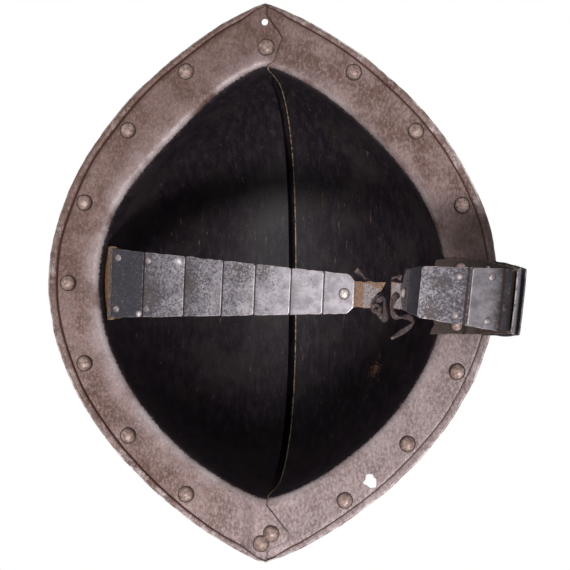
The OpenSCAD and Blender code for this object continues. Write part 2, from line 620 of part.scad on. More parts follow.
skull_left();
skull_right();
brim_rivets();
front_seam_rivet();
rear_seam_rivets();
left_root_leather();
right_root_leather();
left_root_rivets();
right_root_rivets();
for (s = SIDES, k = [1:LAMES]) {
    on_link(s, k) lame(s, k);
    on_link(s, k) leather(s, k);
    on_link(s, k) lame_rivets(s, k);
}
left_tie_tab();
right_tie_tab();
for (s = SIDES) {
    on_link(s, LAMES) tip_rivet(s);
    lace(s);
}
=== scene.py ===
"""A musketeer's helmet, seen from below into its bowl: the looks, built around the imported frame.

Everything is in metres in the frame's own axes. Sizes below are in millimetres, as a maker would say them.
"""

import json
import math

import bmesh
import bpy
from mathutils import Matrix, Vector, noise

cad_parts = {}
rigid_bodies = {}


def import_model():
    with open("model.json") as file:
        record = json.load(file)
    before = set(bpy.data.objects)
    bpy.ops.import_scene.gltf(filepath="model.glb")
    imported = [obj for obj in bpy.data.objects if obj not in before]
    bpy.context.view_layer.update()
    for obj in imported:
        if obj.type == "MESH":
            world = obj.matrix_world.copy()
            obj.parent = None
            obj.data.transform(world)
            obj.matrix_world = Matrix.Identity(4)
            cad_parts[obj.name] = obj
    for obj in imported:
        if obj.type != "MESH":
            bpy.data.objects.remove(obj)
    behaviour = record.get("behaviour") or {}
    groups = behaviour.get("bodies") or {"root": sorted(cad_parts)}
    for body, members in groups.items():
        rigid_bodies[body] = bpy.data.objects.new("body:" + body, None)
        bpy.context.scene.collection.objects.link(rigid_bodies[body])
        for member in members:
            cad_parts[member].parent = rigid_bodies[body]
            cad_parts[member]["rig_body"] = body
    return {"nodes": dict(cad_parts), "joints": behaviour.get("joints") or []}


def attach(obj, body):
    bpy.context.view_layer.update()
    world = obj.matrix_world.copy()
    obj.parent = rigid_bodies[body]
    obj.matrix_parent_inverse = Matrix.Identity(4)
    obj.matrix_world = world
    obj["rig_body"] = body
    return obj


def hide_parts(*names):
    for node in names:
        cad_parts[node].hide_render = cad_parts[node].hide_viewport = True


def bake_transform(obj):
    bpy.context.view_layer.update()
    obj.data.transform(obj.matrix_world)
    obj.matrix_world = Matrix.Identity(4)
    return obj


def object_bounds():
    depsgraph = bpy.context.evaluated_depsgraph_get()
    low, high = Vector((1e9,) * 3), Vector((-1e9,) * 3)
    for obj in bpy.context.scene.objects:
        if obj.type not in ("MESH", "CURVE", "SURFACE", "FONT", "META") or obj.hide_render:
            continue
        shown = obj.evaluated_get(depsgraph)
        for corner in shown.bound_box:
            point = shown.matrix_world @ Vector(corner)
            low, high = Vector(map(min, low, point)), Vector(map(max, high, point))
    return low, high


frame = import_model()
CAD_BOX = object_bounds()
NODES = frame["nodes"]
MM = 0.001

# Sizes of the helmet, as the solids have them
BRIM_L, BRIM_W, BRIM_SHIFT, BRIM_POINT = 334, 268, 2.8, 0.82
SIDE_DROOP, POINT_DROOP = 9, 3
SHEET_T, SEAM_GAP, SEAT = 1.3, 0.1, 0.25
OPEN_L, OPEN_W, OPEN_SHIFT, OPEN_POINT = 257, 207, 2, 0.75
SKULL_H, FLARE_R, SIDE_ROUND, LENGTH_ROUND = 150, 6, 2.3, 2.6
COMB_H, SLOT_W, FOLD_END, FOLD_LIP = 26, 4.6, 75, 3.5
DOME_H = SKULL_H - FLARE_R
LEATHER_T, LAME_T, LAP, LAME_RISE, PLATE_SEAT = 2.5, 1.0, 5.0, 1.3, 0.05
WALL_SEAT, RIVET_Z, LEATHER_REACH, RIGHT_SEAT_END, DIP = 0.7, 24, 8, 0.486, 4.2
ROOT_W = {"left": 42, "right": 44}
TIP_W = 22.4
LAMES = 7
# Middle of a star of rust on the wall of the bowl, and of the painted shadow that the folded right strap
# casts on the brim
RUST_STAR, STRAP_SHADOW_MIDDLE = (59.5, 57.6, 114.5), (128, -22, -6)

bpy.context.scene.view_settings.view_transform = "Standard"


# Camera and light
def look_from(place, back, up):
    """A placement whose local Z points back and whose local Y points up."""
    right = up.cross(back).normalized()
    up = back.cross(right)
    turn = Matrix((right, up, back)).transposed().to_4x4()
    return Matrix.Translation(place) @ turn


TILT = math.radians(7)
BACK = Vector((math.sin(TILT), 0, -math.cos(TILT)))
CAMERA_DISTANCE, SENSOR_WIDTH = 0.9, 36
PIXELS, PIXEL_MM = 570, 0.6
VIEW_WIDTH = PIXELS * PIXEL_MM * MM
camera_data = bpy.data.cameras.new("camera")
camera = bpy.data.objects.new("camera", camera_data)
bpy.context.scene.collection.objects.link(camera)
bpy.context.scene.camera = camera
aim = Vector((0, 1.2 * MM, 0))
camera.matrix_world = look_from(aim + CAMERA_DISTANCE * BACK, BACK, Vector((0, -1, 0)))
camera_data.sensor_width = SENSOR_WIDTH
camera_data.lens = SENSOR_WIDTH * CAMERA_DISTANCE / VIEW_WIDTH
camera_data.shift_x = 19 / PIXELS
camera_data.clip_start = 0.01


def soft_lamp(name, place, aim, size, power):
    """A round lamp, size across, that shines from place to aim, both in metres."""
    data = bpy.data.lights.new(name, "AREA")
    data.shape = "DISK"
    data.size = size
    data.energy = power
    lamp = bpy.data.objects.new(name, data)
    bpy.context.scene.collection.objects.link(lamp)
    back = (Vector(place) - Vector(aim)).normalized()
    lamp.matrix_world = look_from(Vector(place), back, Vector((0, -1, 0.01)))


soft_lamp("key from the photographer's lower side", (0.16, 0.5, -1.05), (0, 0, 0), 0.22, 12)
soft_lamp("fill from the photographer's upper left", (-0.6, -0.5, -0.8), (0, 0, 0), 0.9, 2)
soft_lamp("lamp over the crown", (-0.4, -0.8, 1.2), (0, 0, 0.1), 0.8, 10)


# Nodes and colours
def add(tree, kind, inputs=None, **settings):
    """Adds a node. An input given as a socket is linked, any other is set."""
    made = tree.nodes.new(kind)
    for name, value in settings.items():
        setattr(made, name, value)
    for name, value in (inputs or {}).items():
        if isinstance(value, bpy.types.NodeSocket):
            tree.links.new(value, made.inputs[name])
        else:
            made.inputs[name].default_value = value
    return made


def linear(hex_colour):
    """An sRGB hex colour as the linear colour that shaders take."""
    parts = [int(hex_colour[i : i + 2], 16) / 255 for i in (1, 3, 5)]
    return tuple(c / 12.92 if c <= 0.04045 else ((c + 0.055) / 1.055) ** 2.4 for c in parts) + (1,)


# The studio: white where the camera or a mirror image looks, and a plain soft light for the object
AMBIENT = 0.29
world = bpy.data.worlds.new("white studio")
bpy.context.scene.world = world
world.use_nodes = True
world.node_tree.nodes.clear()
rays = add(world.node_tree, "ShaderNodeLightPath")
mirrored = add(world.node_tree, "ShaderNodeMath",
    {0: rays.outputs["Is Glossy Ray"], 1: rays.outputs["Is Transmission Ray"]}, operation="MAXIMUM")
seen = add(world.node_tree, "ShaderNodeMath",
    {0: rays.outputs["Is Camera Ray"], 1: mirrored.outputs[0]}, operation="MAXIMUM")
strength = add(world.node_tree, "ShaderNodeMapRange",
    {"Value": seen.outputs[0], "To Min": AMBIENT, "To Max": 1.0})
studio = add(world.node_tree, "ShaderNodeBackground",
    {"Color": (1, 1, 1, 1), "Strength": strength.outputs[0]})
add(world.node_tree, "ShaderNodeOutputWorld", {"Surface": studio.outputs[0]})


# Materials: what their patterns and layers have in common
def start_material(name, *numbers):
    """A new material, its tree, the Object coordinates, and the numbers that the mesh carries."""
    material = bpy.data.materials.new(name)
    material.use_nodes = True
    tree = material.node_tree
    tree.nodes.clear()
    where = add(tree, "ShaderNodeTexCoord").outputs["Object"]
    carried = [add(tree, "ShaderNodeAttribute", attribute_name=number).outputs["Fac"] for number in numbers]
    return material, tree, where, *carried


def patterns(tree, where, *rows):
    """Cloudy patterns, one for each row: the size of its lumps in mm, its detail, its roughness, a shift
    that sets it apart from the others and, where it is drawn out, its scale along X, Y and Z."""
    for size_mm, detail, rough, shift, *stretch in rows:
        moved = add(tree, "ShaderNodeMapping", {"Vector": where, "Scale": stretch or (1, 1, 1),
            "Location": (shift, shift * 0.7, shift * 1.3)})
        yield add(tree, "ShaderNodeTexNoise", {"Vector": moved.outputs[0], "Scale": 1 / (size_mm * MM),
            "Detail": detail, "Roughness": rough}).outputs["Fac"]


def mask(tree, *fades):
    """One number from 0 to 1, the product of the fades. A fade is a number, a socket, or a socket with the
    value at which it gives 0 and the value at which it gives 1."""
    whole = None
    for fade in fades:
        if isinstance(fade, tuple):
            value, low, high = fade
            fade = add(tree, "ShaderNodeMapRange", {"Value": value, "From Min": low, "From Max": high},
                interpolation_type="SMOOTHSTEP").outputs[0]
        if whole is not None:
            fade = add(tree, "ShaderNodeMath", {0: whole, 1: fade}, operation="MULTIPLY").outputs[0]
        whole = fade
    return whole


def coat(tree, under, over, *fades):
    """A layer on another one, where the fades let it show. Either may be a hex colour or a socket."""
    under, over = (linear(layer) if isinstance(layer, str) else layer for layer in (under, over))
    shown = mask(tree, *fades)
    return add(tree, "ShaderNodeMix", {0: shown, 6: under, 7: over}, data_type="RGBA").outputs[2]


def surface(tree, relief, depth_mm, inputs):
    """The shader, with its relief, joined to the material's output."""
    bump = add(tree, "ShaderNodeBump", {"Height": relief, "Distance": depth_mm * MM, "Strength": 1.0})
    shader = add(tree, "ShaderNodeBsdfPrincipled", {**inputs, "Normal": bump.outputs[0]})
    add(tree, "ShaderNodeOutputMaterial", {"Surface": shader.outputs[0]})


def patina(tree, where):
    """Colour, roughness, relief and mottling of old brown-grey iron: an oxide skin with clouds about 20 mm
    across, soft mottling of 1.5 mm drawn out by scouring, and fine dark pits."""
    cloud, mottle, fine = patterns(tree, where,
        (20, 3, 0.6, 0),
        (1.5, 7, 0.75, 3.1, 1, 0.6, 1),
        (0.9, 3, 0.7, 7.7))
    base = coat(tree, "#59423c", "#7a6562", (cloud, 0.38, 0.62))
    base = coat(tree, base, "#927f7d", (mottle, 0.45, 0.66), 0.65)
    base = coat(tree, base, "#58423c", (mottle, 0.48, 0.36), 0.6)
    base = coat(tree, base, "#3f2d29", (fine, 0.56, 0.68), 0.6)
    rough = add(tree, "ShaderNodeMapRange", {"Value": mottle, "To Min": 0.62, "To Max": 0.4}).outputs[0]
    relief = add(tree, "ShaderNodeMix", {0: 0.5, 2: mottle, 3: fine}).outputs[0]
    return base, rough, relief, mottle


def make_inside_iron():
    """Inside and underside of the skull: patinated iron on the brim, painted paler towards the flare with a
    painted highlight on its lip, and black paint in the bowl with scuffs, rust specks and one star of rust.
    The hem is scraped bright in places and has a thin line of red-brown dirt at its border. The brim also
    carries painted light and shade: paler towards the right rear, darker towards the left front, and painted
    shadows beside the right strap and under each flap's free edge. The mesh's edge_mm is the distance from
    the brim's edge, arc_mm the way past the start of the flare, flap_mm the distance from a flap's free edge
    and lip_mm that from the comb's slot."""
    material, tree, where, edge, arc, flap, lip = start_material("patinated iron, painted black inside",
        "edge_mm", "arc_mm", "flap_mm", "lip_mm")
    base, rough, relief, mottle = patina(tree, where)
    lumps, scraped, knocked, cloud = patterns(tree, where,
        (1.3, 6, 0.85, 8.4),
        (11, 9, 0.8, 1.9),
        (13, 7, 0.75, 4.9),
        (30, 3, 0.6, 8.1))
    scuff, thin, speck, scratch, fringe, broken = patterns(tree, where,
        (3.5, 8, 0.75, 2.3, 1, 0.3, 0.25),
        (34, 4, 0.6, 5.2),
        (2.2, 8, 0.9, 9.1),
        (1.6, 4, 0.7, 3.7, 1, 0.12, 0.12),
        (1.2, 3, 0.6, 6.3),
        (4, 8, 0.85, 6.6))
    # The way to the opening, uneven by this many millimetres so that no border follows it smoothly
    wander = 8.0
    arc = add(tree, "ShaderNodeMath", {0: lumps, 1: wander, 2: arc}, operation="MULTIPLY_ADD").outputs[0]
    arc = add(tree, "ShaderNodeMath", {0: arc, 1: wander / 2}, operation="SUBTRACT").outputs[0]
    # The hem: scraped, dirty at its border, dull where it is rolled and bare on its outermost edge
    base = coat(tree, base, "#c2b5b3", (edge, 5.0, 4.6), (scraped, 0.5, 0.62), 0.7)
    base = coat(tree, base, "#4d2922", (edge, 4.2, 4.7), (edge, 6.0, 5.1), (mottle, 0.28, 0.5), 0.85)
    base = coat(tree, base, "#54403b", (edge, 1.0, 1.4), (edge, 2.4, 1.8), 0.35)
    base = coat(tree, base, "#e6dfde", (edge, 1.1, 0.2), (knocked, 0.46, 0.56), 0.85)
    # Painted shadow under the free edge of each flap
    base = coat(tree, base, "#311b17", (flap, 1.0, 0.3), 0.9)
    # Painted light and shade: paler towards the right rear and darker, browner towards the left front
    rear = add(tree, "ShaderNodeVectorMath", {0: where, 1: (0.75, 0.65, 0)},
        operation="DOT_PRODUCT").outputs["Value"]
    speckled = add(tree, "ShaderNodeMapRange", {"Value": mottle, "From Min": 0.42, "From Max": 0.6,
        "To Min": 0.26, "To Max": 0.62}, interpolation_type="SMOOTHSTEP").outputs[0]
    base = coat(tree, base, "#a6989a", (rear, 30 * MM, 130 * MM), speckled)
    base = coat(tree, base, "#4f3932", (rear, -50 * MM, -120 * MM), 0.5)
    # Painted light: towards the opening the iron is painted paler, up to a painted highlight along the lip,
    # most of all towards -X
    place = add(tree, "ShaderNodeSeparateXYZ", {"Vector": where})
    side = add(tree, "ShaderNodeMapRange", {"Value": place.outputs["X"], "From Min": -60 * MM,
        "From Max": 50 * MM, "To Min": 1.0, "To Max": 0.4}).outputs[0]
    rubbed = mask(tree, side, (cloud, 0.3, 0.6))
    base = coat(tree, base, "#b0a2a4", (arc, -10, 3), rubbed, 0.42)
    base = coat(tree, base, "#c6babd", (arc, 0.2, 2.6), (arc, 5.4, 4.2), rubbed, 0.5)
    # Painted shadow: the brim darkened beside the folded right strap, where its shadow falls
    beside = add(tree, "ShaderNodeVectorMath", {0: where, 1: Vector(STRAP_SHADOW_MIDDLE) * MM},
        operation="DISTANCE").outputs["Value"]
    base = coat(tree, base, "#33241f", (beside, 36 * MM, 12 * MM), 0.7)
    # Black paint: scuffed, thinner in clouds, with rust specks and thin upright scratches
    black = coat(tree, "#1d171d", "#383038", (scuff, 0.42, 0.72))
    black = coat(tree, black, "#37302f", (thin, 0.46, 0.66), 0.5)
    black = coat(tree, black, "#a0714f", (speck, 0.6, 0.66), 0.8)
    black = coat(tree, black, "#7d6456", (scratch, 0.64, 0.7), 0.6)
    # A star of rust: its distance, made uneven, leaves rays
    away = add(tree, "ShaderNodeVectorMath", {0: where, 1: Vector(RUST_STAR) * MM},
        operation="DISTANCE").outputs["Value"]
    ray = add(tree, "ShaderNodeMath", {0: fringe, 1: -34 * MM, 2: away}, operation="MULTIPLY_ADD").outputs[0]
    black = coat(tree, black, "#a87a68", (ray, -13.8 * MM, -15.2 * MM), (away, 8.5 * MM, 6 * MM), 0.8)
    # A thin, broken pale line along the right lip of the comb's slot
    black = coat(tree, black, "#b39a80", (lip, -0.25, 0.05), (lip, 0.85, 0.5), (broken, 0.4, 0.58))
    paint = mask(tree, (arc, 4.6, 5.6))
    rough = add(tree, "ShaderNodeMix", {0: paint, 2: rough, 3: 0.5}).outputs[0]
    metal = add(tree, "ShaderNodeMapRange", {"Value": paint, "To Min": 0.4, "To Max": 0.0}).outputs[0]
    surface(tree, relief, 0.3, {"Base Color": coat(tree, base, black, paint), "Roughness": rough,
        "Metallic": metal, "Specular IOR Level": 0.2})
    return material


def make_outside_iron():
    """Outside of the skull: the same patina, a little rustier, scraped bare along the edges."""
    material, tree, where, edge = start_material("patinated iron", "edge_mm")
    base, rough, relief, _ = patina(tree, where)
    knocked, rust = patterns(tree, where, (16, 4, 0.6, 4.9), (20, 6, 0.7, 4.2))
    base = coat(tree, base, "#e6dfde", (edge, 0.9, 0.2), (knocked, 0.42, 0.56), 0.85)
    base = coat(tree, base, "#5d4136", (rust, 0.54, 0.68), 0.5)
    surface(tree, relief, 0.3, {"Base Color": base, "Roughness": rough, "Metallic": 0.4})
    return material


def make_lame_steel():
    """Lames: steel plate, warm grey under a dark corrosion skin that is left as mottling 1 to 3 mm across.
    The mesh's tone says how much is rubbed bright, stain and polish where it is browned or burnished,
    and seam_mm how far a point is from the free end of the lame that lies over it."""
    material, tree, where, tone, edge, stain, polish, past = start_material("worn steel plate",
        "tone", "edge_mm", "stain", "polish", "seam_mm")
    cloud, spot, fine, pink, nicked = patterns(tree, where,
        (7, 5, 0.65, 0),
        (1.5, 9, 0.85, 3.3),
        (0.6, 3, 0.7, 8.8),
        (3.2, 5, 0.7, 1.7),
        (4, 4, 0.7, 1.1))
    dark = coat(tree, "#252326", "#39363b", (cloud, 0.35, 0.65))
    light = coat(tree, "#928b92", "#b9b2b9", (cloud, 0.35, 0.65))
    colour = coat(tree, dark, light, tone)
    colour = coat(tree, colour, "#a78f8b", (pink, 0.52, 0.68), 0.3)
    # The skin stays where the spots pass a level, which is higher where the plate is rubbed
    level = add(tree, "ShaderNodeMath", {0: tone, 1: 0.2, 2: 0.38}, operation="MULTIPLY_ADD").outputs[0]
    level = add(tree, "ShaderNodeMath", {0: stain, 1: -0.08, 2: level}, operation="MULTIPLY_ADD").outputs[0]
    above = add(tree, "ShaderNodeMath", {0: spot, 1: level}, operation="SUBTRACT").outputs[0]
    spots = mask(tree, (above, 0.0, 0.06))
    skin = coat(tree, "#34323a", "#403532", stain)
    colour = coat(tree, colour, skin, spots, 0.8)
    colour = coat(tree, colour, "#d3cbcc", (fine, 0.6, 0.75), 0.35)
    colour = coat(tree, colour, "#efe8e8", polish)
    # Bare edges, more so on the rubbed lames, and a painted shadow along the free end of the lame that lies
    # over this one
    bare = add(tree, "ShaderNodeMapRange", {"Value": tone, "To Min": 0.15, "To Max": 0.8}).outputs[0]
    colour = coat(tree, colour, "#c6b8b5", (edge, 0.55, 0.15), (nicked, 0.4, 0.6), bare)
    colour = coat(tree, colour, "#33211f", (past, -1.2, -0.6), (past, 0.9, 0.3), 0.85)
    rough = add(tree, "ShaderNodeMapRange", {"Value": spots, "To Min": 0.58, "To Max": 0.75}).outputs[0]
    rough = add(tree, "ShaderNodeMath", {0: tone, 1: -0.25, 2: rough}, operation="MULTIPLY_ADD").outputs[0]
    relief = add(tree, "ShaderNodeMix", {0: 0.6, 2: fine, 3: spot}).outputs[0]
    surface(tree, relief, 0.2, {"Base Color": colour, "Roughness": rough, "Metallic": 0.55,
        "Specular IOR Level": 0.25})
    return material


def make_rivet_iron(name, low, high, metal):
    """Rivets: forged heads, oxide in the hammer marks, painted shade round the rim and bare iron on the
    rubbed top.
    """
    material, tree, where, rim = start_material(name, "rim")
    mottle, fine = patterns(tree, where, (2.2, 6, 0.75, 2.2), (0.8, 3, 0.7, 4.4))
    colour = coat(tree, low, high, (mottle, 0.38, 0.64))
    colour = coat(tree, colour, "#4a3a34", (fine, 0.6, 0.72), 0.5)
    # Painted shade round each head's rim, where it meets the plate
    colour = coat(tree, colour, "#2f211e", (rim, 0.14, 0.5))
    rough = add(tree, "ShaderNodeMapRange", {"Value": mottle, "To Min": 0.6, "To Max": 0.35}).outputs[0]
    relief = add(tree, "ShaderNodeMix", {0: 0.5, 2: mottle, 3: fine}).outputs[0]
    surface(tree, relief, 0.3, {"Base Color": colour, "Roughness": rough, "Metallic": metal})
    return material


def make_leather(name, flesh, hide, dark, pale, kept):
    """Old leather: a dark grain side, crazed with pale cracks, that flakes off over tan fibres. kept is how
    much of it is left, and the mesh's tan says where it has come off."""
    material, tree, where, edge, tan = start_material(name, "edge_mm", "tan")
    fibres, flake, crazed, cracks = patterns(tree, where,
        (0.9, 8, 0.85, 0, 2.2, 0.4, 1.6),
        (3, 7, 0.75, 2.6),
        (1.3, 7, 0.85, 5.1),
        (1.0, 8, 0.88, 7.1, 2.2, 0.4, 1.6))
    inner = coat(tree, flesh, hide, (fibres, 0.35, 0.65))
    gone = add(tree, "ShaderNodeMath", {0: tan, 1: 0.5, 2: flake}, operation="MULTIPLY_ADD").outputs[0]
    flaked, worn = mask(tree, (gone, kept, kept + 0.07)), mask(tree, (edge, 0.7, 0.2))
    bare = add(tree, "ShaderNodeMath", {0: flaked, 1: worn}, operation="MAXIMUM").outputs[0]
    outer = coat(tree, dark, pale, (crazed, 0.5, 0.6), 0.7)
    colour = coat(tree, outer, inner, bare)
    colour = coat(tree, colour, "#2e211c", (cracks, 0.48, 0.6), 0.75)
    rough = add(tree, "ShaderNodeMapRange", {"Value": fibres, "To Min": 0.85, "To Max": 0.6}).outputs[0]
    relief = add(tree, "ShaderNodeMix", {0: 0.6, 2: fibres, 3: flake}).outputs[0]
    surface(tree, relief, 0.6, {"Base Color": colour, "Roughness": rough, "Specular IOR Level": 0.3})
    return material


INSIDE_IRON = make_inside_iron()
OUTSIDE_IRON = make_outside_iron()
LAME_STEEL = make_lame_steel()
BRIM_RIVET_IRON = make_rivet_iron("forged rivet iron", "#6d554e", "#a38d86", 0.4)
DULL_RIVET_IRON = make_rivet_iron("dull rivet iron", "#5f5759", "#93898a", 0.6)
BRIGHT_RIVET_IRON = make_rivet_iron("rubbed rivet iron", "#a0938e", "#d9cec9", 0.6)
STRAP_LEATHER = make_leather("tan strap leather with flaking grain",
    "#6b4c37", "#b8906c", "#4f484a", "#a79c97", 0.64)
TAB_LEATHER = make_leather("grey dry leather", "#6d4f3f", "#a98873", "#8d8182", "#c4b9b8", 0.66)
# The right strap's leather is dark, and its colours are darkened further as painted shade
DARK_LEATHER_AND_SHADE = make_leather("dark dry leather", "#43342b", "#5f4d40", "#352b28", "#54473f", 0.7)
LACE_LEATHER = make_leather("brown leather thong", "#5a4640", "#927c76", "#44373a", "#85746f", 0.6)


# Making sheets
def sheet(name, near, far, numbers, materials, body=None, smooth_angle=40):
    """A closed thin sheet. near and far are rows of points in mm, of one size; numbers gives each
    attribute a grid of values of the same size. The near side takes the first material."""
    rows, columns = len(near), len(near[0])
    bm = bmesh.new()
    bmesh.ops.create_grid(bm, x_segments=rows - 1, y_segments=columns - 1, size=0.5)
    cell = bm.verts.layers.int.new("cell")
    layers = {key: bm.verts.layers.float.new(key) for key in numbers}
    for v in bm.verts:
        i = round((v.co.x + 0.5) * (rows - 1))
        j = round((v.co.y + 0.5) * (columns - 1))
        v[cell] = i * columns + j
        for key, layer in layers.items():
            v[layer] = numbers[key][i][j]
    first = set(bm.faces)
    grown = bmesh.ops.extrude_face_region(bm, geom=list(bm.faces), use_keep_orig=True)
    far_verts = {g for g in grown["geom"] if isinstance(g, bmesh.types.BMVert)}
    for v in bm.verts:
        i, j = divmod(v[cell], columns)
        v.co = Vector(far[i][j] if v in far_verts else near[i][j]) * MM
    for f in bm.faces:
        f.smooth = True
        f.material_index = 0 if f in first or len(materials) == 1 else 1
    bmesh.ops.remove_doubles(bm, verts=list(bm.verts), dist=2e-6)
    bmesh.ops.recalc_face_normals(bm, faces=list(bm.faces))
    bm.verts.layers.int.remove(bm.verts.layers.int["cell"])
    return finished(name, bm, materials, body, smooth_angle)


def finished(name, bm, materials, body=None, smooth_angle=40):
    """The bmesh as a piece in the scene, sharp where it turns by more than smooth_angle, on its body."""
    for e in bm.edges:
        e.smooth = len(e.link_faces) == 2 and e.calc_face_angle(0) < math.radians(smooth_angle)
    mesh = bpy.data.meshes.new(name)
    bm.to_mesh(mesh)
    bm.free()
    for material in materials:
        mesh.materials.append(material)
    piece = bpy.data.objects.new(name, mesh)
    bpy.context.scene.collection.objects.link(piece)
    if body:
        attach(piece, body)
    return piece


# The skull, from the same rules as the solids
def half_open(s):
    return OPEN_W / 2 + s * OPEN_SHIFT


def half_brim(s):
    return BRIM_W / 2 + s * BRIM_SHIFT


def cosine(a):
    return max(0.0, math.cos(a))


def droop(a):
    return SIDE_DROOP * math.cos(a) ** 2 + POINT_DROOP * math.sin(a) ** 2


def brim_point_at(s, a, f):
    """A point of the brim at the angle a, from -90 degrees at the front point to 90 at the rear one, with f
    from 0 at the opening to 1 at the edge. s is -1 for the left half and 1 for the right one."""
    wide = ((1 - f) * half_open(s) * cosine(a) ** (2 * OPEN_POINT)
        + f * half_brim(s) * cosine(a) ** (2 * BRIM_POINT))
    return Vector((s * max(SEAM_GAP, wide), ((1 - f) * OPEN_L / 2 + f * BRIM_L / 2) * math.sin(a),
        -droop(a) * max(0.0, f) ** 1.2))


def brim_span(s, a):
    return (brim_point_at(s, a, 1) - brim_point_at(s, a, 0)).length


def flare_point(s, a, turn):
    """A point of the rounded flare, from the brim (turn 0) to the wall (a quarter turn)."""
    return brim_point_at(s, a, FLARE_R / brim_span(s, a) * (1 - math.sin(turn))) + Vector(
        (0, 0, FLARE_R * (1 - math.cos(turn))))


def crown_z(a):
    return DOME_H * max(0.0, 1 - abs(math.sin(a)) ** LENGTH_ROUND) ** (1 / LENGTH_ROUND)


def wall_x(s, y, rise):
    u = min(1.0, rise / DOME_H)
    wide = (1 - u**SIDE_ROUND) ** (1 / SIDE_ROUND)
    long = max(0.000001, 1 - u**LENGTH_ROUND) ** (1 / LENGTH_ROUND)
    t = min(1.0, abs(y) / (OPEN_L / 2 * long))
    return half_open(s) * wide * (1 - t * t) ** (OPEN_POINT - 0.2 * u)


def slot(a):
    return max(SEAM_GAP, SLOT_W / 2 * min(1.0, 5 * cosine(a)))


def wall_point(s, a, w):
    y = OPEN_L / 2 * math.sin(a)
    rise = crown_z(a) * math.sin(w * math.pi / 2)
    return Vector((s * max(slot(a), wall_x(s, y, rise)), y, FLARE_R + rise))


def comb_rise(a):
    return COMB_H * cosine(a) ** 0.7


def crest_normal(a):
    """The direction square to the comb's crest, as Y and Z."""
    ends = []
    for b in (max(-math.pi / 2, a - 0.02), min(math.pi / 2, a + 0.02)):
        ends.append(Vector((OPEN_L / 2 * math.sin(b), crown_z(b) + comb_rise(b))))
    along = ends[1] - ends[0]
    return Vector((-along.y, along.x)).normalized()


def comb_points(s, a, t):
    """The comb's profile: up the flank, then over. The left half rolls over the right one's crest."""
    top, x = comb_rise(a), slot(a) + t
    over = slot(a) + SHEET_T + SEAT + t
    profile = [(s * x, top * k / 4, 0) for k in (0.6, 1.3, 2.2, 3)]
    if s > 0:
        profile += [(x * math.cos(q), top - 1.2, 1.4 * math.sin(q) + t * math.sin(q))
            for q in (0, 0.5, 1.0, 1.35)]
        profile += [(SEAM_GAP, top, 0.2 + t)]
        profile += [profile[-1]] * 8
    else:
        middle, reach = (over - x) / 2, (over + x) / 2
        closing = min(1.0, max(0.0, (math.degrees(abs(a)) - FOLD_END + 5) / 8))
        last = math.pi * (1 - 0.42 * closing)
        for k in range(10):
            q = last * k / 9
            p = (middle - reach * math.cos(q), top - 0.3, (2.0 + t) * math.sin(q))
            profile.append((min(p[0], -SEAM_GAP) if closing == 1 else p[0], p[1], p[2]))
        lip = FOLD_LIP * (1 - closing)
        profile += [(profile[-1][0], top - 0.3 - lip * k / 3, profile[-1][2]) for k in (1, 2, 3)]
    n = crest_normal(a)
    return [Vector((p[0], OPEN_L / 2 * math.sin(a) + p[2] * n.x, FLARE_R + crown_z(a) + p[1] + p[2] * n.y))
        for p in profile]


# The turned hem: distance from the brim's edge, and how far its face stands down
HEM = ((0, 0.7), (0.4, 1.15), (0.9, 1.35), (1.6, 1.42), (2.6, 1.45), (3.6, 1.42), (4.4, 1.25),
    (4.75, 0.95), (5.0, 0.3), (5.3, -0.25), (5.8, -0.08), (7, 0))
EDGE_THICKNESS = {0: 0.3, 0.4: 0.95, 0.9: 1.2}
BRIM_STEPS, FLARE_STEPS, WALL_STEPS, STATIONS = 14, 8, 30, 180
# The hammered mouth is drawn in near the front, more on the left: how far, about which angle and how wide,
# and the height at which the wall is back on its own line
MOUTH_PULL, PULL_ANGLE, PULL_SPREAD, PULL_TOP = {-1: 6.0, 1: 3.0}, -44, 21, 80
# Near the seam the left half passes under the right one: how near, eased over how much, and how far
UNDERLAP_W, UNDERLAP_EASE, UNDERLAP = 14, 7, 1.65
# Distances that stand for nowhere near an edge, the flare, or a flap or lame that lies over a point
FAR, PAST_FLARE, NOT_NEAR = 99, 20, 9
HEM_PLACES = [inset for inset, drop in HEM]


def base_row(s, a):
    """Points of the sheet's near side at one station, from the brim's edge up to the comb's foot, with
    their distance from the edge and their way along the sheet from the start of the flare."""
    span = brim_span(s, a)
    start, stop = HEM_PLACES[-1], FLARE_R
    reach = half_brim(s) * cosine(a) ** (2 * BRIM_POINT)
    hem_width = 0.66 + 0.34 * math.cos(a) + 0.12 * noise.noise(Vector((3 * math.cos(a), 5 * math.sin(a), s)))
    hem_width *= 0.55 + 0.45 * eased(reach, 3, 16)
    row = [brim_point_at(s, a, 1 - inset * (hem_width if 2 < inset < 6 else 1) / span)
        for inset in HEM_PLACES]
    edge = list(HEM_PLACES)
    for k in range(1, BRIM_STEPS + 1):
        inset = start + (span - stop - start) * k / (BRIM_STEPS + 1)
        row.append(brim_point_at(s, a, 1 - inset / span))
        edge.append(inset)
    arc = [inset - (span - FLARE_R) for inset in edge]
    for k in range(FLARE_STEPS + 1):
        row.append(flare_point(s, a, math.pi / 2 * k / FLARE_STEPS))
        arc.append(FLARE_R * math.pi / 2 * k / FLARE_STEPS)
    for k in range(1, WALL_STEPS + 1):
        row.append(wall_point(s, a, k / WALL_STEPS))
        arc.append(PAST_FLARE)
    return row, edge + [FAR] * (len(row) - len(edge)), arc


def outward(s, grid, i, j):
    """The direction square to the sheet at a point of its grid, from its inside to its outside."""
    along = grid[min(len(grid) - 1, i + 1)][j] - grid[max(0, i - 1)][j]
    across = grid[i][min(len(grid[i]) - 1, j + 1)] - grid[i][max(0, j - 1)]
    n = s * along.cross(across)
    if n.length < 1e-6:
        return Vector((0, 0.6 if i else -0.6, 0.8))
    return n.normalized()


def uneven(p, size, amount):
    """Hand-hammered unevenness at a point, in mm."""
    return amount * noise.noise(p / size)


def eased(x, low, high):
    """0 below low, 1 above high, smooth between."""
    t = min(1.0, max(0.0, (x - low) / (high - low)))
    return t * t * (3 - 2 * t)


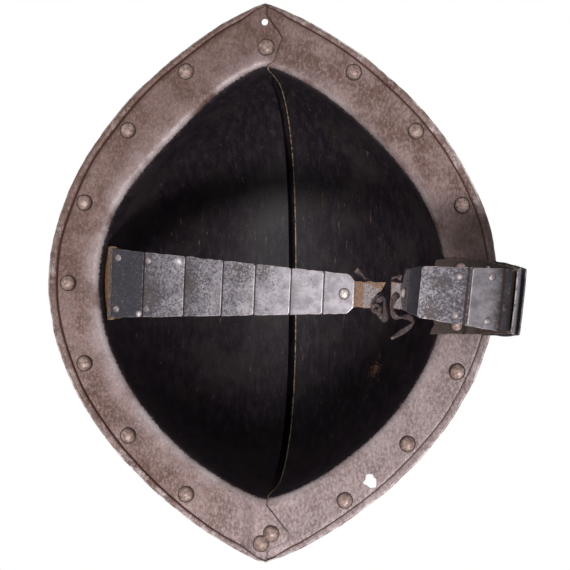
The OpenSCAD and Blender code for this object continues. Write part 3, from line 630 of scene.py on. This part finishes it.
def skull_half(s):
    """Rows of points of one half, inside and outside, from the front point to the rear one, the numbers
    that its mesh carries, and the column at which the brim and the flare end. s is -1 or 1."""
    name = "left" if s < 0 else "right"
    angles = [math.radians(-90 + 180 * i / STATIONS) for i in range(STATIONS + 1)]
    bases = [base_row(s, a) for a in angles]
    grid = [b[0] for b in bases]
    for i, a in enumerate(angles):
        pull = MOUTH_PULL[s] * math.exp(-(((math.degrees(a) - PULL_ANGLE) / PULL_SPREAD) ** 2))
        inward = brim_point_at(s, a, 0) - brim_point_at(s, a, 1)
        inward.z = 0
        inward = pull * inward.normalized()
        for j, p in enumerate(grid[i]):
            inset = bases[i][1][j]
            if inset < FAR:
                share = eased(inset, HEM_PLACES[-1], brim_span(s, a) - FLARE_R)
            else:
                share = 1 - eased(p.z, FLARE_R, PULL_TOP)
            grid[i][j] = p + inward * share
    near, far, edge, lip, arc, flap = [], [], [], [], [], []
    open_column = len(HEM_PLACES) + BRIM_STEPS + FLARE_STEPS
    for i, a in enumerate(angles):
        row, back, marks = [], [], []
        for j, p in enumerate(grid[i]):
            inset = HEM_PLACES[j] if j < len(HEM_PLACES) else FAR
            n = outward(s, grid, i, j)
            drop = HEM[j][1] * min(1, 4 * cosine(a)) if inset < FAR else 0
            dent = n * (uneven(p, 31, 0.5) + uneven(p + Vector((50, 0, 0)), 9, 0.16))
            if inset < 8:
                out = Vector((p.x, p.y, 0)).normalized()
                wobble = uneven(p, 17, 0.55) + uneven(p, 5, 0.3)
                dent = dent + out * wobble * (1 - inset / 8)
            under = 0.0
            if s < 0 and abs(p.x) < UNDERLAP_W and j <= open_column:
                under = UNDERLAP * min(1.0, (UNDERLAP_W - abs(p.x)) / UNDERLAP_EASE)
            low = p + dent - Vector((0, 0, drop + under))
            high = p + dent + EDGE_THICKNESS.get(inset, SHEET_T) * n - Vector((0, 0, under))
            # Nothing crosses the seam
            low.x = s * max(SEAM_GAP, s * low.x)
            high.x = s * max(SEAM_GAP, s * high.x)
            row.append(low)
            back.append(high)
            marks.append(bases[i][1][j])
        row += comb_points(s, a, 0)
        back += comb_points(s, a, SHEET_T)
        marks += [FAR] * (len(row) - len(marks))
        if i in (0, len(angles) - 1):
            for line in (row, back):
                line[open_column + 1 :] = [line[open_column]] * (len(line) - open_column - 1)
        near.append(row)
        far.append(back)
        edge.append(marks)
        arc.append(bases[i][2] + [PAST_FLARE] * (len(row) - len(grid[i])))
        flap.append([NOT_NEAR] * len(row))
        lip.append([p.x - slot(a) if j < len(grid[i]) else -1.0 for j, p in enumerate(row)])
    return name, near, far, {"edge_mm": edge, "lip_mm": lip, "arc_mm": arc, "flap_mm": flap}, open_column


# The flaps that close the seam at the points: reach across the seam by distance from the point
FRONT_REACH = ((0, 1.0), (7.6, 1.2), (7.8, 1.6), (20.2, 10.6), (34.6, 4.8), (36, 0.8), (60, 0.2))
REAR_REACH = ((0, 1.0), (7.6, 1.2), (7.8, 3), (9.4, 6.5), (13.4, 13.2), (17.4, 14.4), (33.5, 1), (60, 0.2))
FLAP_TILT = math.radians(3.5)


def between(table, x):
    """The table's value at x, on a straight line between its entries."""
    for (x0, y0), (x1, y1) in zip(table, table[1:]):
        if x <= x1:
            return y0 + (y1 - y0) * max(0.0, (x - x0) / (x1 - x0))
    return table[-1][1]


def with_flaps(near, far, numbers, open_column):
    """Adds rows past the seam at both ends, whose width is the flap's reach."""
    count = 12
    for end, table in ((-1, FRONT_REACH), (1, REAR_REACH)):
        at = 0 if end < 0 else len(near) - 1
        rows = []
        for r in range(1, count + 1):
            rows.append([[], []])
            for j in range(len(near[at])):
                for layer, grid in ((0, near), (1, far)):
                    p = grid[at][j].copy()
                    if j < open_column:
                        d = BRIM_L / 2 - abs(p.y)
                        reach = between(table, d) + (0.35 * noise.noise(p / 3.1) if d > 8 else 0)
                        p.x = -SEAM_GAP + max(0.0, reach) * r / count
                        p.z -= (p.x + SEAM_GAP) * math.tan(FLAP_TILT)
                        if r == count and layer == 0:
                            p.z += 0.35
                    rows[-1][layer].append(p)
        values = {key: [list(grid[at]) for r in rows] for key, grid in numbers.items()}
        rim = rows[-1][0]
        values["flap_mm"] = [[(rim[j] - r[0][j]).length if j < open_column else NOT_NEAR
            for j in range(len(rim))] for r in rows]
        if end < 0:
            near[:0] = [r[0] for r in reversed(rows)]
            far[:0] = [r[1] for r in reversed(rows)]
            for key, grid in numbers.items():
                grid[:0] = values[key][::-1]
        else:
            near += [r[0] for r in rows]
            far += [r[1] for r in rows]
            for key, grid in numbers.items():
                grid += values[key]


def cut_hole(piece, place, radius, depth=30, ragged=0.0):
    """A round or ragged upright hole, made with a cutter that is then thrown away. Sizes in mm."""
    bm = bmesh.new()
    made = bmesh.ops.create_cone(bm, cap_ends=True, segments=28, radius1=radius * MM, radius2=radius * MM,
        depth=depth * MM)
    for v in made["verts"]:
        angle = math.atan2(v.co.y, v.co.x)
        grow = 1 + ragged * noise.noise(Vector((math.cos(angle), math.sin(angle), radius)) * 1.7)
        v.co = Vector((v.co.x * grow, v.co.y * grow, v.co.z)) + Vector(place) * MM
    cutter = finished("cutter", bm, [])
    cut = piece.modifiers.new("hole", "BOOLEAN")
    cut.object, cut.operation, cut.solver = cutter, "DIFFERENCE", "EXACT"
    graph = bpy.context.evaluated_depsgraph_get()
    whole = bpy.data.meshes.new_from_object(piece.evaluated_get(graph))
    piece.modifiers.clear()
    piece.data = whole
    bpy.data.objects.remove(cutter)


# Holes through the brim of each half: place, radius and raggedness
HOLES = {-1: (((-0.3, -156, 0), 2, 0),), 1: (((0.3, -156, 0), 2, 0), ((62.7, 117.9, 0), 3.8, 0.5))}

for side in (-1, 1):
    name, near, far, numbers, open_column = skull_half(side)
    if side < 0:
        with_flaps(near, far, numbers, open_column)
    skull = sheet(f"helmet_half_{name}", near, far, numbers, [INSIDE_IRON, OUTSIDE_IRON], "helmet")
    for place, radius, ragged in HOLES[side]:
        cut_hole(skull, place, radius, ragged=ragged)
    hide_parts(f"skull_{name}")


# Straps: each link's frame comes from the joints, so it can't drift from the solids
def flexes(side):
    """Points of a strap's flexes in mm, from the root to the tab."""
    places = {j["child"]: Vector(j["pos_m"]) / MM for j in frame["joints"]}
    line = [places[f"{side}_link_{k}"] for k in range(1, LAMES + 1)]
    return line, places[f"{side}_tie"]


YAW = {"left": math.radians(2.5), "right": math.radians(6)}
# The right strap's last lame, which its tab doesn't continue: its slope and its length
LAST_SLOPE, LAST_LENGTH = math.radians(255), 22
# How far the bend of the leather reaches to each side of a flex
FLEX_REACH = 2.5


class Strap:
    """Frames of a strap's links, in mm: start, direction along, direction across, and the metal side."""

    def __init__(self, side):
        self.side = side
        self.hand = -1 if side == "left" else 1
        self.across = Vector((-math.sin(YAW[side]), math.cos(YAW[side]), 0))
        self.starts, self.tab = flexes(side)
        self.ends = self.starts[1:] + [self.last_end()]
        self.lengths = [(b - a).length for a, b in zip(self.starts, self.ends)]
        self.total = sum(self.lengths)

    def last_end(self):
        if self.side == "left":
            return self.tab
        flat = Vector((math.cos(YAW["right"]), math.sin(YAW["right"]), 0))
        down = Vector((0, 0, -math.sin(LAST_SLOPE)))
        return self.starts[-1] + LAST_LENGTH * (flat * math.cos(LAST_SLOPE) + down)

    def along(self, k):
        return (self.ends[k - 1] - self.starts[k - 1]).normalized()

    def metal(self, k):
        return self.hand * self.along(k).cross(self.across)

    def place(self, k, u, v, w):
        return self.starts[k - 1] + u * self.along(k) + v * self.across + w * self.metal(k)

    def tab_place(self, u, v, w):
        """The same for the tie tab, which lies level and points inwards."""
        along = -self.hand * Vector((math.cos(YAW[self.side]), math.sin(YAW[self.side]), 0))
        return self.tab + u * along + v * self.across + w * self.hand * along.cross(self.across)

    def run(self, k):
        return sum(self.lengths[: k - 1])

    def width(self, run):
        return ROOT_W[self.side] + (TIP_W - ROOT_W[self.side]) * run / self.total


STRAPS = {side: Strap(side) for side in ("left", "right")}


# Rivets: copies of the solids, with hammer marks. rim is 0 on top of a head and 1 on its upright sides
def hammered(node, material, axis, size=2.6, amount=0.16):
    """A solid's rivets with hammer marks of this size and depth in mm. axis is the way that they point."""
    source = NODES[node]
    bm = bmesh.new()
    bm.from_mesh(source.data)
    bmesh.ops.remove_doubles(bm, verts=list(bm.verts), dist=1e-6)
    rim = bm.verts.layers.float.new("rim")
    for v in bm.verts:
        p = v.co / MM
        v[rim] = 1 - abs(v.normal.dot(axis))
        v.co += v.normal * uneven(p, size, amount) * MM
    for f in bm.faces:
        f.smooth = True
    piece = finished(f"worn_{node}", bm, [material], source["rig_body"], 50)
    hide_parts(node)


for node in NODES:
    side, what = node.split("_", 1)
    if what == "tip_rivet":
        hammered(node, BRIGHT_RIVET_IRON, STRAPS[side].metal(LAMES), 1.5, 0.08)
    elif what.startswith("lame_rivets"):
        hammered(node, DULL_RIVET_IRON, STRAPS[side].metal(int(what[-1])), 1.5, 0.08)
    elif "rivet" in what:
        hammered(node, BRIM_RIVET_IRON,
            Vector((1, 0, 0)) if node == "left_root_rivets" else Vector((0, 0, 1)))


# How much of each lame is rubbed bright, from the root to the tip
TONES = {"left": (0.12, 0.47, 0.5, 0.6, 0.77, 0.86, 1.0), "right": (0.1, 0.1, 0.3, 0.4, 0.4, 0.08, 0.5)}
# Browned places on the lames: side, lame, share of its length, share of its half width, radius in mm
STAINS = (("left", 6, 0.85, -0.5, 6), ("left", 5, 0.4, -0.8, 7), ("left", 4, 0.8, -0.7, 7),
    ("left", 3, 0.25, -0.1, 9), ("left", 2, 0.3, 0.3, 9), ("left", 6, 0.1, 0.75, 4),
    ("right", 5, 0.9, 0.7, 6), ("right", 5, 0.8, -0.4, 4))
# Lames with few dark spots
SMOOTH = {("right", 4): 1.6, ("left", 7): 0.8, ("left", 6): 0.4}
# Burnished places, the same way
POLISHED = (("left", 2, 1.05, -0.8, 1.4), ("left", 1, 1.2, 0.93, 1.1), ("left", 2, 0.12, 0.6, 1.2))
# Distances of the lines of points that follow a lame's rim
RIM = (0, 0.25, 0.7, 1.6)


def stations(first, last, count=16):
    """Places from first to last, closer together near both ends."""
    inner = [first + RIM[-1] + (last - first - 2 * RIM[-1]) * q / count for q in range(1, count)]
    return [first + d for d in RIM] + inner + [last - d for d in reversed(RIM)]


def marked(table, side, k, along, across, length, half):
    """How strongly a point of a lame is marked by the places in the table, from 0 to 1."""
    total = 0.0
    for where_side, where_k, u, v, radius in table:
        if (where_side, where_k) == (side, k):
            total += math.exp(-(((along - u * length) ** 2 + (across - v * half) ** 2) / radius**2))
    return min(1.0, total)


def lame(side, k):
    """The k-th steel plate of a strap: arched, uneven, worn thin at its rim, and lapping the next one."""
    strap = STRAPS[side]
    length = strap.lengths[k - 1]
    u0 = 1.5 if k == 1 else 0.3
    u1 = length + (-0.3 if k == LAMES else LAP)
    cut = 3.5 if k == LAMES else 1
    wide, narrow = strap.width(strap.run(k)), strap.width(strap.run(k) + u1)
    near, far = [], []
    numbers = {"edge_mm": [], "tone": [], "stain": [], "polish": [], "seam_mm": []}
    for u in stations(u0, u1):
        half = (wide + (narrow - wide) * (u - u0) / (u1 - u0)) / 2
        half -= max(0, u - (u1 - cut)) + max(0, u0 + 1 - u)
        rows = [[] for _ in range(2 + len(numbers))]
        for v in stations(-half, half):
            inset = min(u - u0, u1 - u, half - abs(v))
            worn = 0.25 * max(0.0, 1 - inset / 0.5) ** 2
            arch = 0.25 * (1 - (v / half) ** 2)
            seed = Vector((u, v, 17 * k + (0 if side == "left" else 200)))
            ragged = (uneven(seed, 6, 0.35) + uneven(seed, 2.2, 0.15)) * max(0.0, 1 - inset / 2)
            skin = uneven(seed, 7, 0.10)
            rise = LEATHER_T + PLATE_SEAT + LAME_RISE * u / length + arch + skin
            # Room for the next lame to swing out under this one
            rise += 0.35 * eased(u, length - 2, u1) if (side, k) == ("right", 5) else 0
            push = ragged * (1 if v > 0 else -1)
            rows[0].append(strap.place(k, u, v + push, rise + worn * 0.3))
            rows[1].append(strap.place(k, u, v + push, rise + LAME_T - worn))
            # Darker towards the start of each lame and paler towards its free end; the right strap's middle
            # lame much darker at its start
            shade = 0.22 * (0.6 - u / length) * (k > 1)
            if (side, k) == ("right", 4):
                shade = 0.45 * (1 - eased(u, 3, 13))
            stained = marked(STAINS, side, k, u, v, length, half) - SMOOTH.get((side, k), 0)
            polished = marked(POLISHED, side, k, u, v, length, half)
            past = u - LAP if k > 1 else NOT_NEAR
            for row, value in zip(rows[2:], (inset, TONES[side][k - 1] - shade, stained, polished, past)):
                row.append(value)
        for grid, row in zip((near, far, *numbers.values()), rows):
            grid.append(row)
    piece = sheet(f"plate_{side}_{k}", near, far, numbers, [LAME_STEEL], f"{side}_link_{k}", 50)
    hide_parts(f"{side}_lame_{k}")


for side in STRAPS:
    for k in range(1, LAMES + 1):
        lame(side, k)


def rounded(before, corner, after, q):
    """A point of the curve from before to after that a corner pulls towards it."""
    return before * (1 - q) ** 2 + corner * 2 * q * (1 - q) + after * q**2


def bend(start, flex, end, reach, samples):
    """A path in mm from start through a rounded flex to end, with the share of the turn made."""
    before, after = (flex - start).normalized(), (end - flex).normalized()
    first, last = (flex - start).length, (end - flex).length
    line = []
    for q in range(samples + 1):
        t = -first + (first + last) * q / samples
        if t <= -reach:
            line.append((flex + before * t, 0.0))
        elif t >= reach:
            line.append((flex + after * t, 1.0))
        else:
            share = (t + reach) / (2 * reach)
            line.append((rounded(flex - before * reach, flex, flex + after * reach, share), share))
    return line


def hide(name, side, rows, place, material, bodies, limits, nodes, slot, base=0.0, hole=None):
    """A strip of leather between two bodies. place(t, v) gives, for t from 0 to 1 along it and v from -1 to
    1 across it, its point in mm, its outer direction, how far v is from the side, how far t is from a cut
    end, and how much of the dark grain is gone. hole gives the place and radius of a lace hole."""
    columns = 16
    near, far, edge, tan = [], [], [], []
    across = STRAPS[side].across
    for r in range(rows + 1):
        lines = ([], [], [], [])
        for q in range(columns + 1):
            v = 2 * q / columns - 1
            p, out, from_side, from_end, gone = place(r / rows, v)
            seed = p + Vector((0, 0, 40 if side == "left" else 90))
            push = (uneven(seed, 3, 0.55) + uneven(seed, 1.1, 0.25)) * max(0.0, 1 - from_side / 3)
            inset = min(from_side, from_end)
            thin = 0.3 * max(0.0, 1 - inset / 0.9)
            at = p + across * push + out * (base + uneven(seed, 5, 0.10))
            lines[0].append(at + out * thin)
            lines[1].append(at + out * (LEATHER_T - thin + uneven(seed, 2.5, 0.05)))
            lines[2].append(inset)
            lines[3].append(gone)
        for grid, line in zip((near, far, edge, tan), lines):
            grid.append(line)
    piece = sheet(name, near, far, {"edge_mm": edge, "tan": tan}, [material], None, 50)
    if hole:
        cut_hole(piece, hole[0], hole[1], 8)
    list(bodies)
    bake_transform(piece)
    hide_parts(*nodes)


# Leather under the lames, each strip from the middle of one link to the middle of the next
def link_hide(side, k):
    """The strip that joins link k to the next one and bends at the flex between them."""
    strap = STRAPS[side]
    rows = 30
    line = bend(strap.place(k, strap.lengths[k - 1] / 2, 0, 0), strap.starts[k],
        strap.place(k + 1, strap.lengths[k] / 2, 0, 0), FLEX_REACH, rows)
    run0 = strap.run(k) + strap.lengths[k - 1] / 2

    def place(t, v):
        p, share = line[round(t * rows)]
        half = strap.width(run0 + t * (strap.lengths[k - 1] + strap.lengths[k]) / 2) / 2 - 1
        out = (strap.metal(k) * (1 - share) + strap.metal(k + 1) * share).normalized()
        return p + strap.across * v * half, out, half * (1 - abs(v)), FAR, 0.1

    leather = STRAP_LEATHER if side == "left" else DARK_LEATHER_AND_SHADE
    hide(f"{side}_hide_{k}", side, rows, place, leather, (f"{side}_link_{k}", f"{side}_link_{k + 1}"),
        (strap.starts[k] - FLEX_REACH * strap.along(k), strap.starts[k] + FLEX_REACH * strap.along(k + 1)),
        [f"{side}_leather_{k}"], "strap_leather")


for side in STRAPS:
    for k in range(1, LAMES):
        link_hide(side, k)


# Root of the left strap: up the wall behind its rivets, folded at the opening, and under the first lame
def left_root_hide():
    strap = STRAPS["left"]
    root, length = strap.starts[0], strap.lengths[0]
    top = RIVET_Z + LEATHER_REACH
    turn = 3.0
    along, metal = strap.along(1), strap.metal(1)

    def place(t, v):
        half = ROOT_W["left"] / 2 + 1
        s = t * (top + length / 2)
        y = v * half
        if s <= top - turn:
            z = top - s + (uneven(Vector((0, y, 7)), 4, 1.2) * max(0.0, 1 - s / 4))
            on_wall = wall_x(-1, y, max(0.0, z - FLARE_R)) - WALL_SEAT - LEATHER_T
            p = Vector((root.x + (-on_wall - root.x) * eased(z, 4, 9), y, z))
            return p, Vector((-1, 0, 0)), half * (1 - abs(v)), s, 0.3 + 0.7 * eased(s, 20, 27)
        if s <= top + turn:
            q = (s - top + turn) / (2 * turn)
            before, after = Vector((root.x, y, turn)), root + along * turn + strap.across * y
            p = rounded(before, root + strap.across * y, after, q)
            out = (Vector((-1, 0, 0)) * (1 - q) + metal * q).normalized()
            return p, out, half * (1 - abs(v)), FAR, 0.8 - 0.7 * eased(q, 0.4, 0.6)
        u = s - top
        half = strap.width(u) / 2 - 1 + 2 * (1 - eased(u, turn, turn + 2))
        return strap.place(1, u, v * half, 0), metal, half * (1 - abs(v)), FAR, 0.1

    hide("left_root_hide", "left", 64, place, STRAP_LEATHER, ("helmet", "left_link_1"),
        (root + Vector((0, 0, turn)), root + along * turn), ["left_root_leather"], "old_leather")


# Root of the right strap: flat under the brim, dipping under a rivet's head, and out to the first lame
def right_root_hide():
    strap = STRAPS["right"]
    root, length = strap.starts[0], strap.lengths[0]
    half = ROOT_W["right"] / 2
    # Where the leather leaves the brim, and the rows up to there, up to the flex and in all
    brim_share, brim_rows, flex_row, count = 0.62, 30, 34, 46
    slant = math.radians(25)
    leaning = Vector((math.sin(slant), 0, math.cos(slant)))

    def under(v, f):
        y = root.y + v * half
        a = math.asin(y * 2 / (OPEN_L + f * (BRIM_L - OPEN_L)))
        along = brim_point_at(1, a + 0.02, f) - brim_point_at(1, a - 0.02, f)
        inward = brim_point_at(1, a, f - 0.02) - brim_point_at(1, a, f + 0.02)
        up = along.cross(inward).normalized()
        drop = SEAT + LEATHER_T + DIP * eased(f, RIGHT_SEAT_END, brim_share)
        return brim_point_at(1, a, f) - drop * up, up

    def place(t, v):
        r = round(t * count)
        side = half * (1 - abs(v))
        if r <= brim_rows:
            ragged = 0.09 * noise.noise(Vector((v * 4.1, 0.3, 5)))
            ragged += 0.04 * noise.noise(Vector((v * 13, 2, 1)))
            f = -0.1 + (brim_share + 0.1) * r / brim_rows + ragged * max(0.0, 1 - r / 5)
            p, up = under(v, f)
            return p, up, side, (f + 0.14) * 32, 0.1 + 0.3 * max(0.0, 1 - r / 4)
        flex = root + strap.across * v * half + Vector((-0.3, 0, 0))
        if r <= flex_row:
            q = (r - brim_rows) / (flex_row - brim_rows)
            p, up = under(v, brim_share)
            return p.lerp(flex, q), up.lerp(leaning, q).normalized(), side, FAR, 0.1
        q = (r - flex_row) / (count - flex_row)
        u = q * length / 2
        wide = half * (1 - q) + (strap.width(length / 2) / 2 - 1) * q
        p = strap.place(1, u, v * wide, 0)
        if u < 1.5:
            p = flex.lerp(p, eased(u, 0, 1.5))
        return p, leaning.lerp(strap.metal(1), eased(u, 0, 3)).normalized(), wide * (1 - abs(v)), FAR, 0.1

    hide("right_root_hide", "right", count, place, DARK_LEATHER_AND_SHADE, ("helmet", "right_link_1"),
        (root + Vector((-2, 0, 1)), root + strap.along(1) * 3), ["right_root_leather"], "old_leather")


left_root_hide()
right_root_hide()


# Ends of the straps: from the middle of the last lame out into the tie tab, with its lace hole
TABS = {
    "left": {"length": 17.1, "slant": 8.0, "shift": 0.0, "base": 0.0, "hole": 14.2, "hole_r": 1.9},
    "right": {"length": 8.8, "slant": 0.8, "shift": 4.0, "base": -LEATHER_T, "hole": 4.8, "hole_r": 1.7},
}
TAB_W = 15


def tab_hide(side):
    """Leather from under the last lame out into the tab, narrowed, cut aslant and bared at the flex."""
    strap, tab = STRAPS[side], TABS[side]
    rows = 60
    first = strap.lengths[-1] / 2
    narrow = strap.lengths[-1] - 2.6
    level = strap.tab_place(0, 0, 1) - strap.tab

    def place(t, v):
        u = -first + t * (first + tab["length"])
        half = strap.width(strap.run(LAMES) + strap.lengths[-1] + u) / 2 - 1
        share = eased(u, -strap.lengths[-1] + narrow - 2.5, -1.2)
        side_half = half + (TAB_W / 2 - half) * share
        centre = tab["shift"] * share
        y = centre + v * side_half
        from_end = tab["length"] - u
        u -= tab["slant"] * (v + 1) / 2 * eased(u, 1.5, tab["length"])
        turn = 1.6
        corner = strap.tab + strap.across * y
        if u < -turn:
            p = strap.tab + strap.along(LAMES) * u + strap.across * y
            out = strap.metal(LAMES)
        elif u > turn:
            p, out = strap.tab_place(u, y, 0), level
        else:
            q = (u + turn) / (2 * turn)
            before = corner - strap.along(LAMES) * turn
            after = strap.tab_place(turn, y, 0)
            p = rounded(before, corner, after, q)
            out = strap.metal(LAMES).lerp(level, eased(q, 0, 1)).normalized()
        gone = 0.15
        if side == "left":
            gone = max(1 - eased(u, 3.4, 5.2), 0.85 * eased(-v, 0.72, 0.95),
                0.5 * eased(u, 8, 10) * eased(-v, 0.3, 0.7))
        return p, out, side_half * (1 - abs(v)), from_end, gone

    hole = strap.tab_place(tab["hole"], tab["shift"], 1.2)
    limits = strap.tab - FLEX_REACH * strap.along(LAMES), strap.tab_place(FLEX_REACH, 0, 0)
    hide(f"{side}_tab_hide", side, rows, place, TAB_LEATHER, (f"{side}_link_{LAMES}", f"{side}_tie"), limits,
        [f"{side}_leather_{LAMES}", f"{side}_tie_tab"], "strap_leather", tab["base"], (hole, tab["hole_r"]))


for side in STRAPS:
    tab_hide(side)


# Laces: flat twisted thongs, along the same routes as the solids, in mm from each tab's flex
LACES = {
    "left": ((-0.2, -14.2, 1.8), (3.1, -11.2, 1.8), (6.6, -8, 1.8), (10.6, -4, 1.8), (14.1, -0.1, 1.7),
        (14.3, 0.6, -0.9), (14.3, 0.7, -3.3), (13.6, 1.8, -5.1), (11.6, 4.2, -5.4), (9.8, 6.9, -5.7),
        (10.6, 9.4, -6.3), (13.4, 9.8, -7.1), (14.4, 7.8, -7.9), (12.4, 6.2, -8.5), (10.0, 7.2, -8.7)),
    "right": ((-5.3, -6.9, 4.1), (-7.8, -7.5, 4.4), (-9.8, -6.3, 4.5), (-9.5, -3.1, 4.4), (-8.4, 0.3, 4.3),
        (-7.7, 2.9, 3.8), (-7.7, 3.2, 0.6), (-8, 3.5, -2.4), (-9.4, 5.7, -3.2), (-10.2, 9.5, -3.4),
        (-9.8, 13.2, -3), (-7.6, 15.6, -2.4), (-4.4, 15.2, -1.0), (-0.6, 15.6, -0.4), (1.3, 18.6, -1.0),
        (-1.9, 21.9, -1.8), (-6.3, 24.7, -2.4), (-10.9, 27.5, -3)),
}
LEFT_LACE_END = ((10.8, 6.6, -5.4), (12.6, 4.6, -6.0), (14.8, 2.6, -6.8), (16.6, 2.6, -7.8),
    (17.0, 4.6, -8.2), (17.0, 8.0, -8.0), (17.2, 11.4, -7.4), (17.6, 13.6, -7.0), (16.6, 14.6, -6.8),
    (14.8, 12.8, -7.2), (13.4, 10.8, -7.4))


def smooth_route(points, steps_each):
    """A Catmull-Rom curve through the points."""
    line = []
    padded = [points[0] * 2 - points[1], *points, points[-1] * 2 - points[-2]]
    for i in range(1, len(padded) - 2):
        a, b, c, d = padded[i - 1 : i + 3]
        for q in range(steps_each):
            t = q / steps_each
            line.append(0.5 * (2 * b + (c - a) * t + (2 * a - 5 * b + 4 * c - d) * t**2
                + (3 * b - a - 3 * c + d) * t**3))
    return line + [points[-1]]


def thong(name, side, route, width, thick, turns):
    """A flat leather thong, twisted by this many turns on its way."""
    line = smooth_route([STRAPS[side].ends[-1] + Vector(p) for p in route], 8)
    normal = Vector((0.3, 0.2, 1))
    columns = 8
    near, far, edge, tan = [], [], [], []
    for r, p in enumerate(line):
        ahead = (line[min(len(line) - 1, r + 1)] - line[max(0, r - 1)]).normalized()
        normal = (normal - normal.dot(ahead) * ahead).normalized()
        other = ahead.cross(normal)
        twist = 2 * math.pi * turns * r / len(line)
        up = normal * math.cos(twist) + other * math.sin(twist)
        wide = ahead.cross(up)
        from_end = min(r, len(line) - 1 - r) * 0.5
        swell = 1 + 0.18 * noise.noise(Vector((r * 0.16, 3, 5)))
        lines = ([], [], [], [])
        for q in range(columns + 1):
            v = 2 * q / columns - 1
            crown = thick / 2 * math.sqrt(max(0.0, 1 - 0.85 * v * v))
            at = p + wide * (v * width / 2 * swell)
            lump = uneven(at, 1.6, 0.12)
            lines[0].append(at - up * (crown + lump))
            lines[1].append(at + up * (crown + lump))
            lines[2].append(min(3.0, 0.4 + from_end))
            lines[3].append(max(0.0, 1 - from_end / 1.5))
        for grid, row in zip((near, far, edge, tan), lines):
            grid.append(row)
    piece = sheet(name, near, far, {"edge_mm": edge, "tan": tan}, [LACE_LEATHER], f"{side}_tie", 60)
    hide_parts(f"{side}_lace")


thong("left_thong", "left", LACES["left"], 2.9, 1.6, 2.5)
thong("left_thong_end", "left", LEFT_LACE_END, 3.0, 1.5, 0.5)
thong("right_thong", "right", LACES["right"], 3.1, 1.6, 3)


# Floor, out of reach below the straps: it takes the object's shadow and is white for the camera
def make_floor():
    """Plain white board, lifted a little so that it reads as white away from the shadow. It is clear from
    behind, and casts no shadow itself."""
    material, tree, _ = start_material("white board")
    board = add(tree, "ShaderNodeBsdfPrincipled", {"Base Color": (0.9, 0.9, 0.9, 1),
        "Emission Color": (1, 1, 1, 1), "Emission Strength": 0.3})
    clear = add(tree, "ShaderNodeBsdfTransparent")
    behind = add(tree, "ShaderNodeNewGeometry").outputs["Backfacing"]
    shadow = add(tree, "ShaderNodeLightPath").outputs["Is Shadow Ray"]
    unseen = add(tree, "ShaderNodeMath", {0: behind, 1: shadow}, operation="MAXIMUM").outputs[0]
    both = add(tree, "ShaderNodeMixShader", {"Fac": unseen, 1: board.outputs[0], 2: clear.outputs[0]})
    add(tree, "ShaderNodeOutputMaterial", {"Surface": both.outputs[0]})
    return material


bm = bmesh.new()
bmesh.ops.create_grid(bm, x_segments=1, y_segments=1, size=6)
bmesh.ops.translate(bm, verts=list(bm.verts), vec=(0, 0, CAD_BOX[0][2] - MM))
floor = finished("floor", bm, [make_floor()])
floor.visible_glossy = floor.visible_diffuse = False
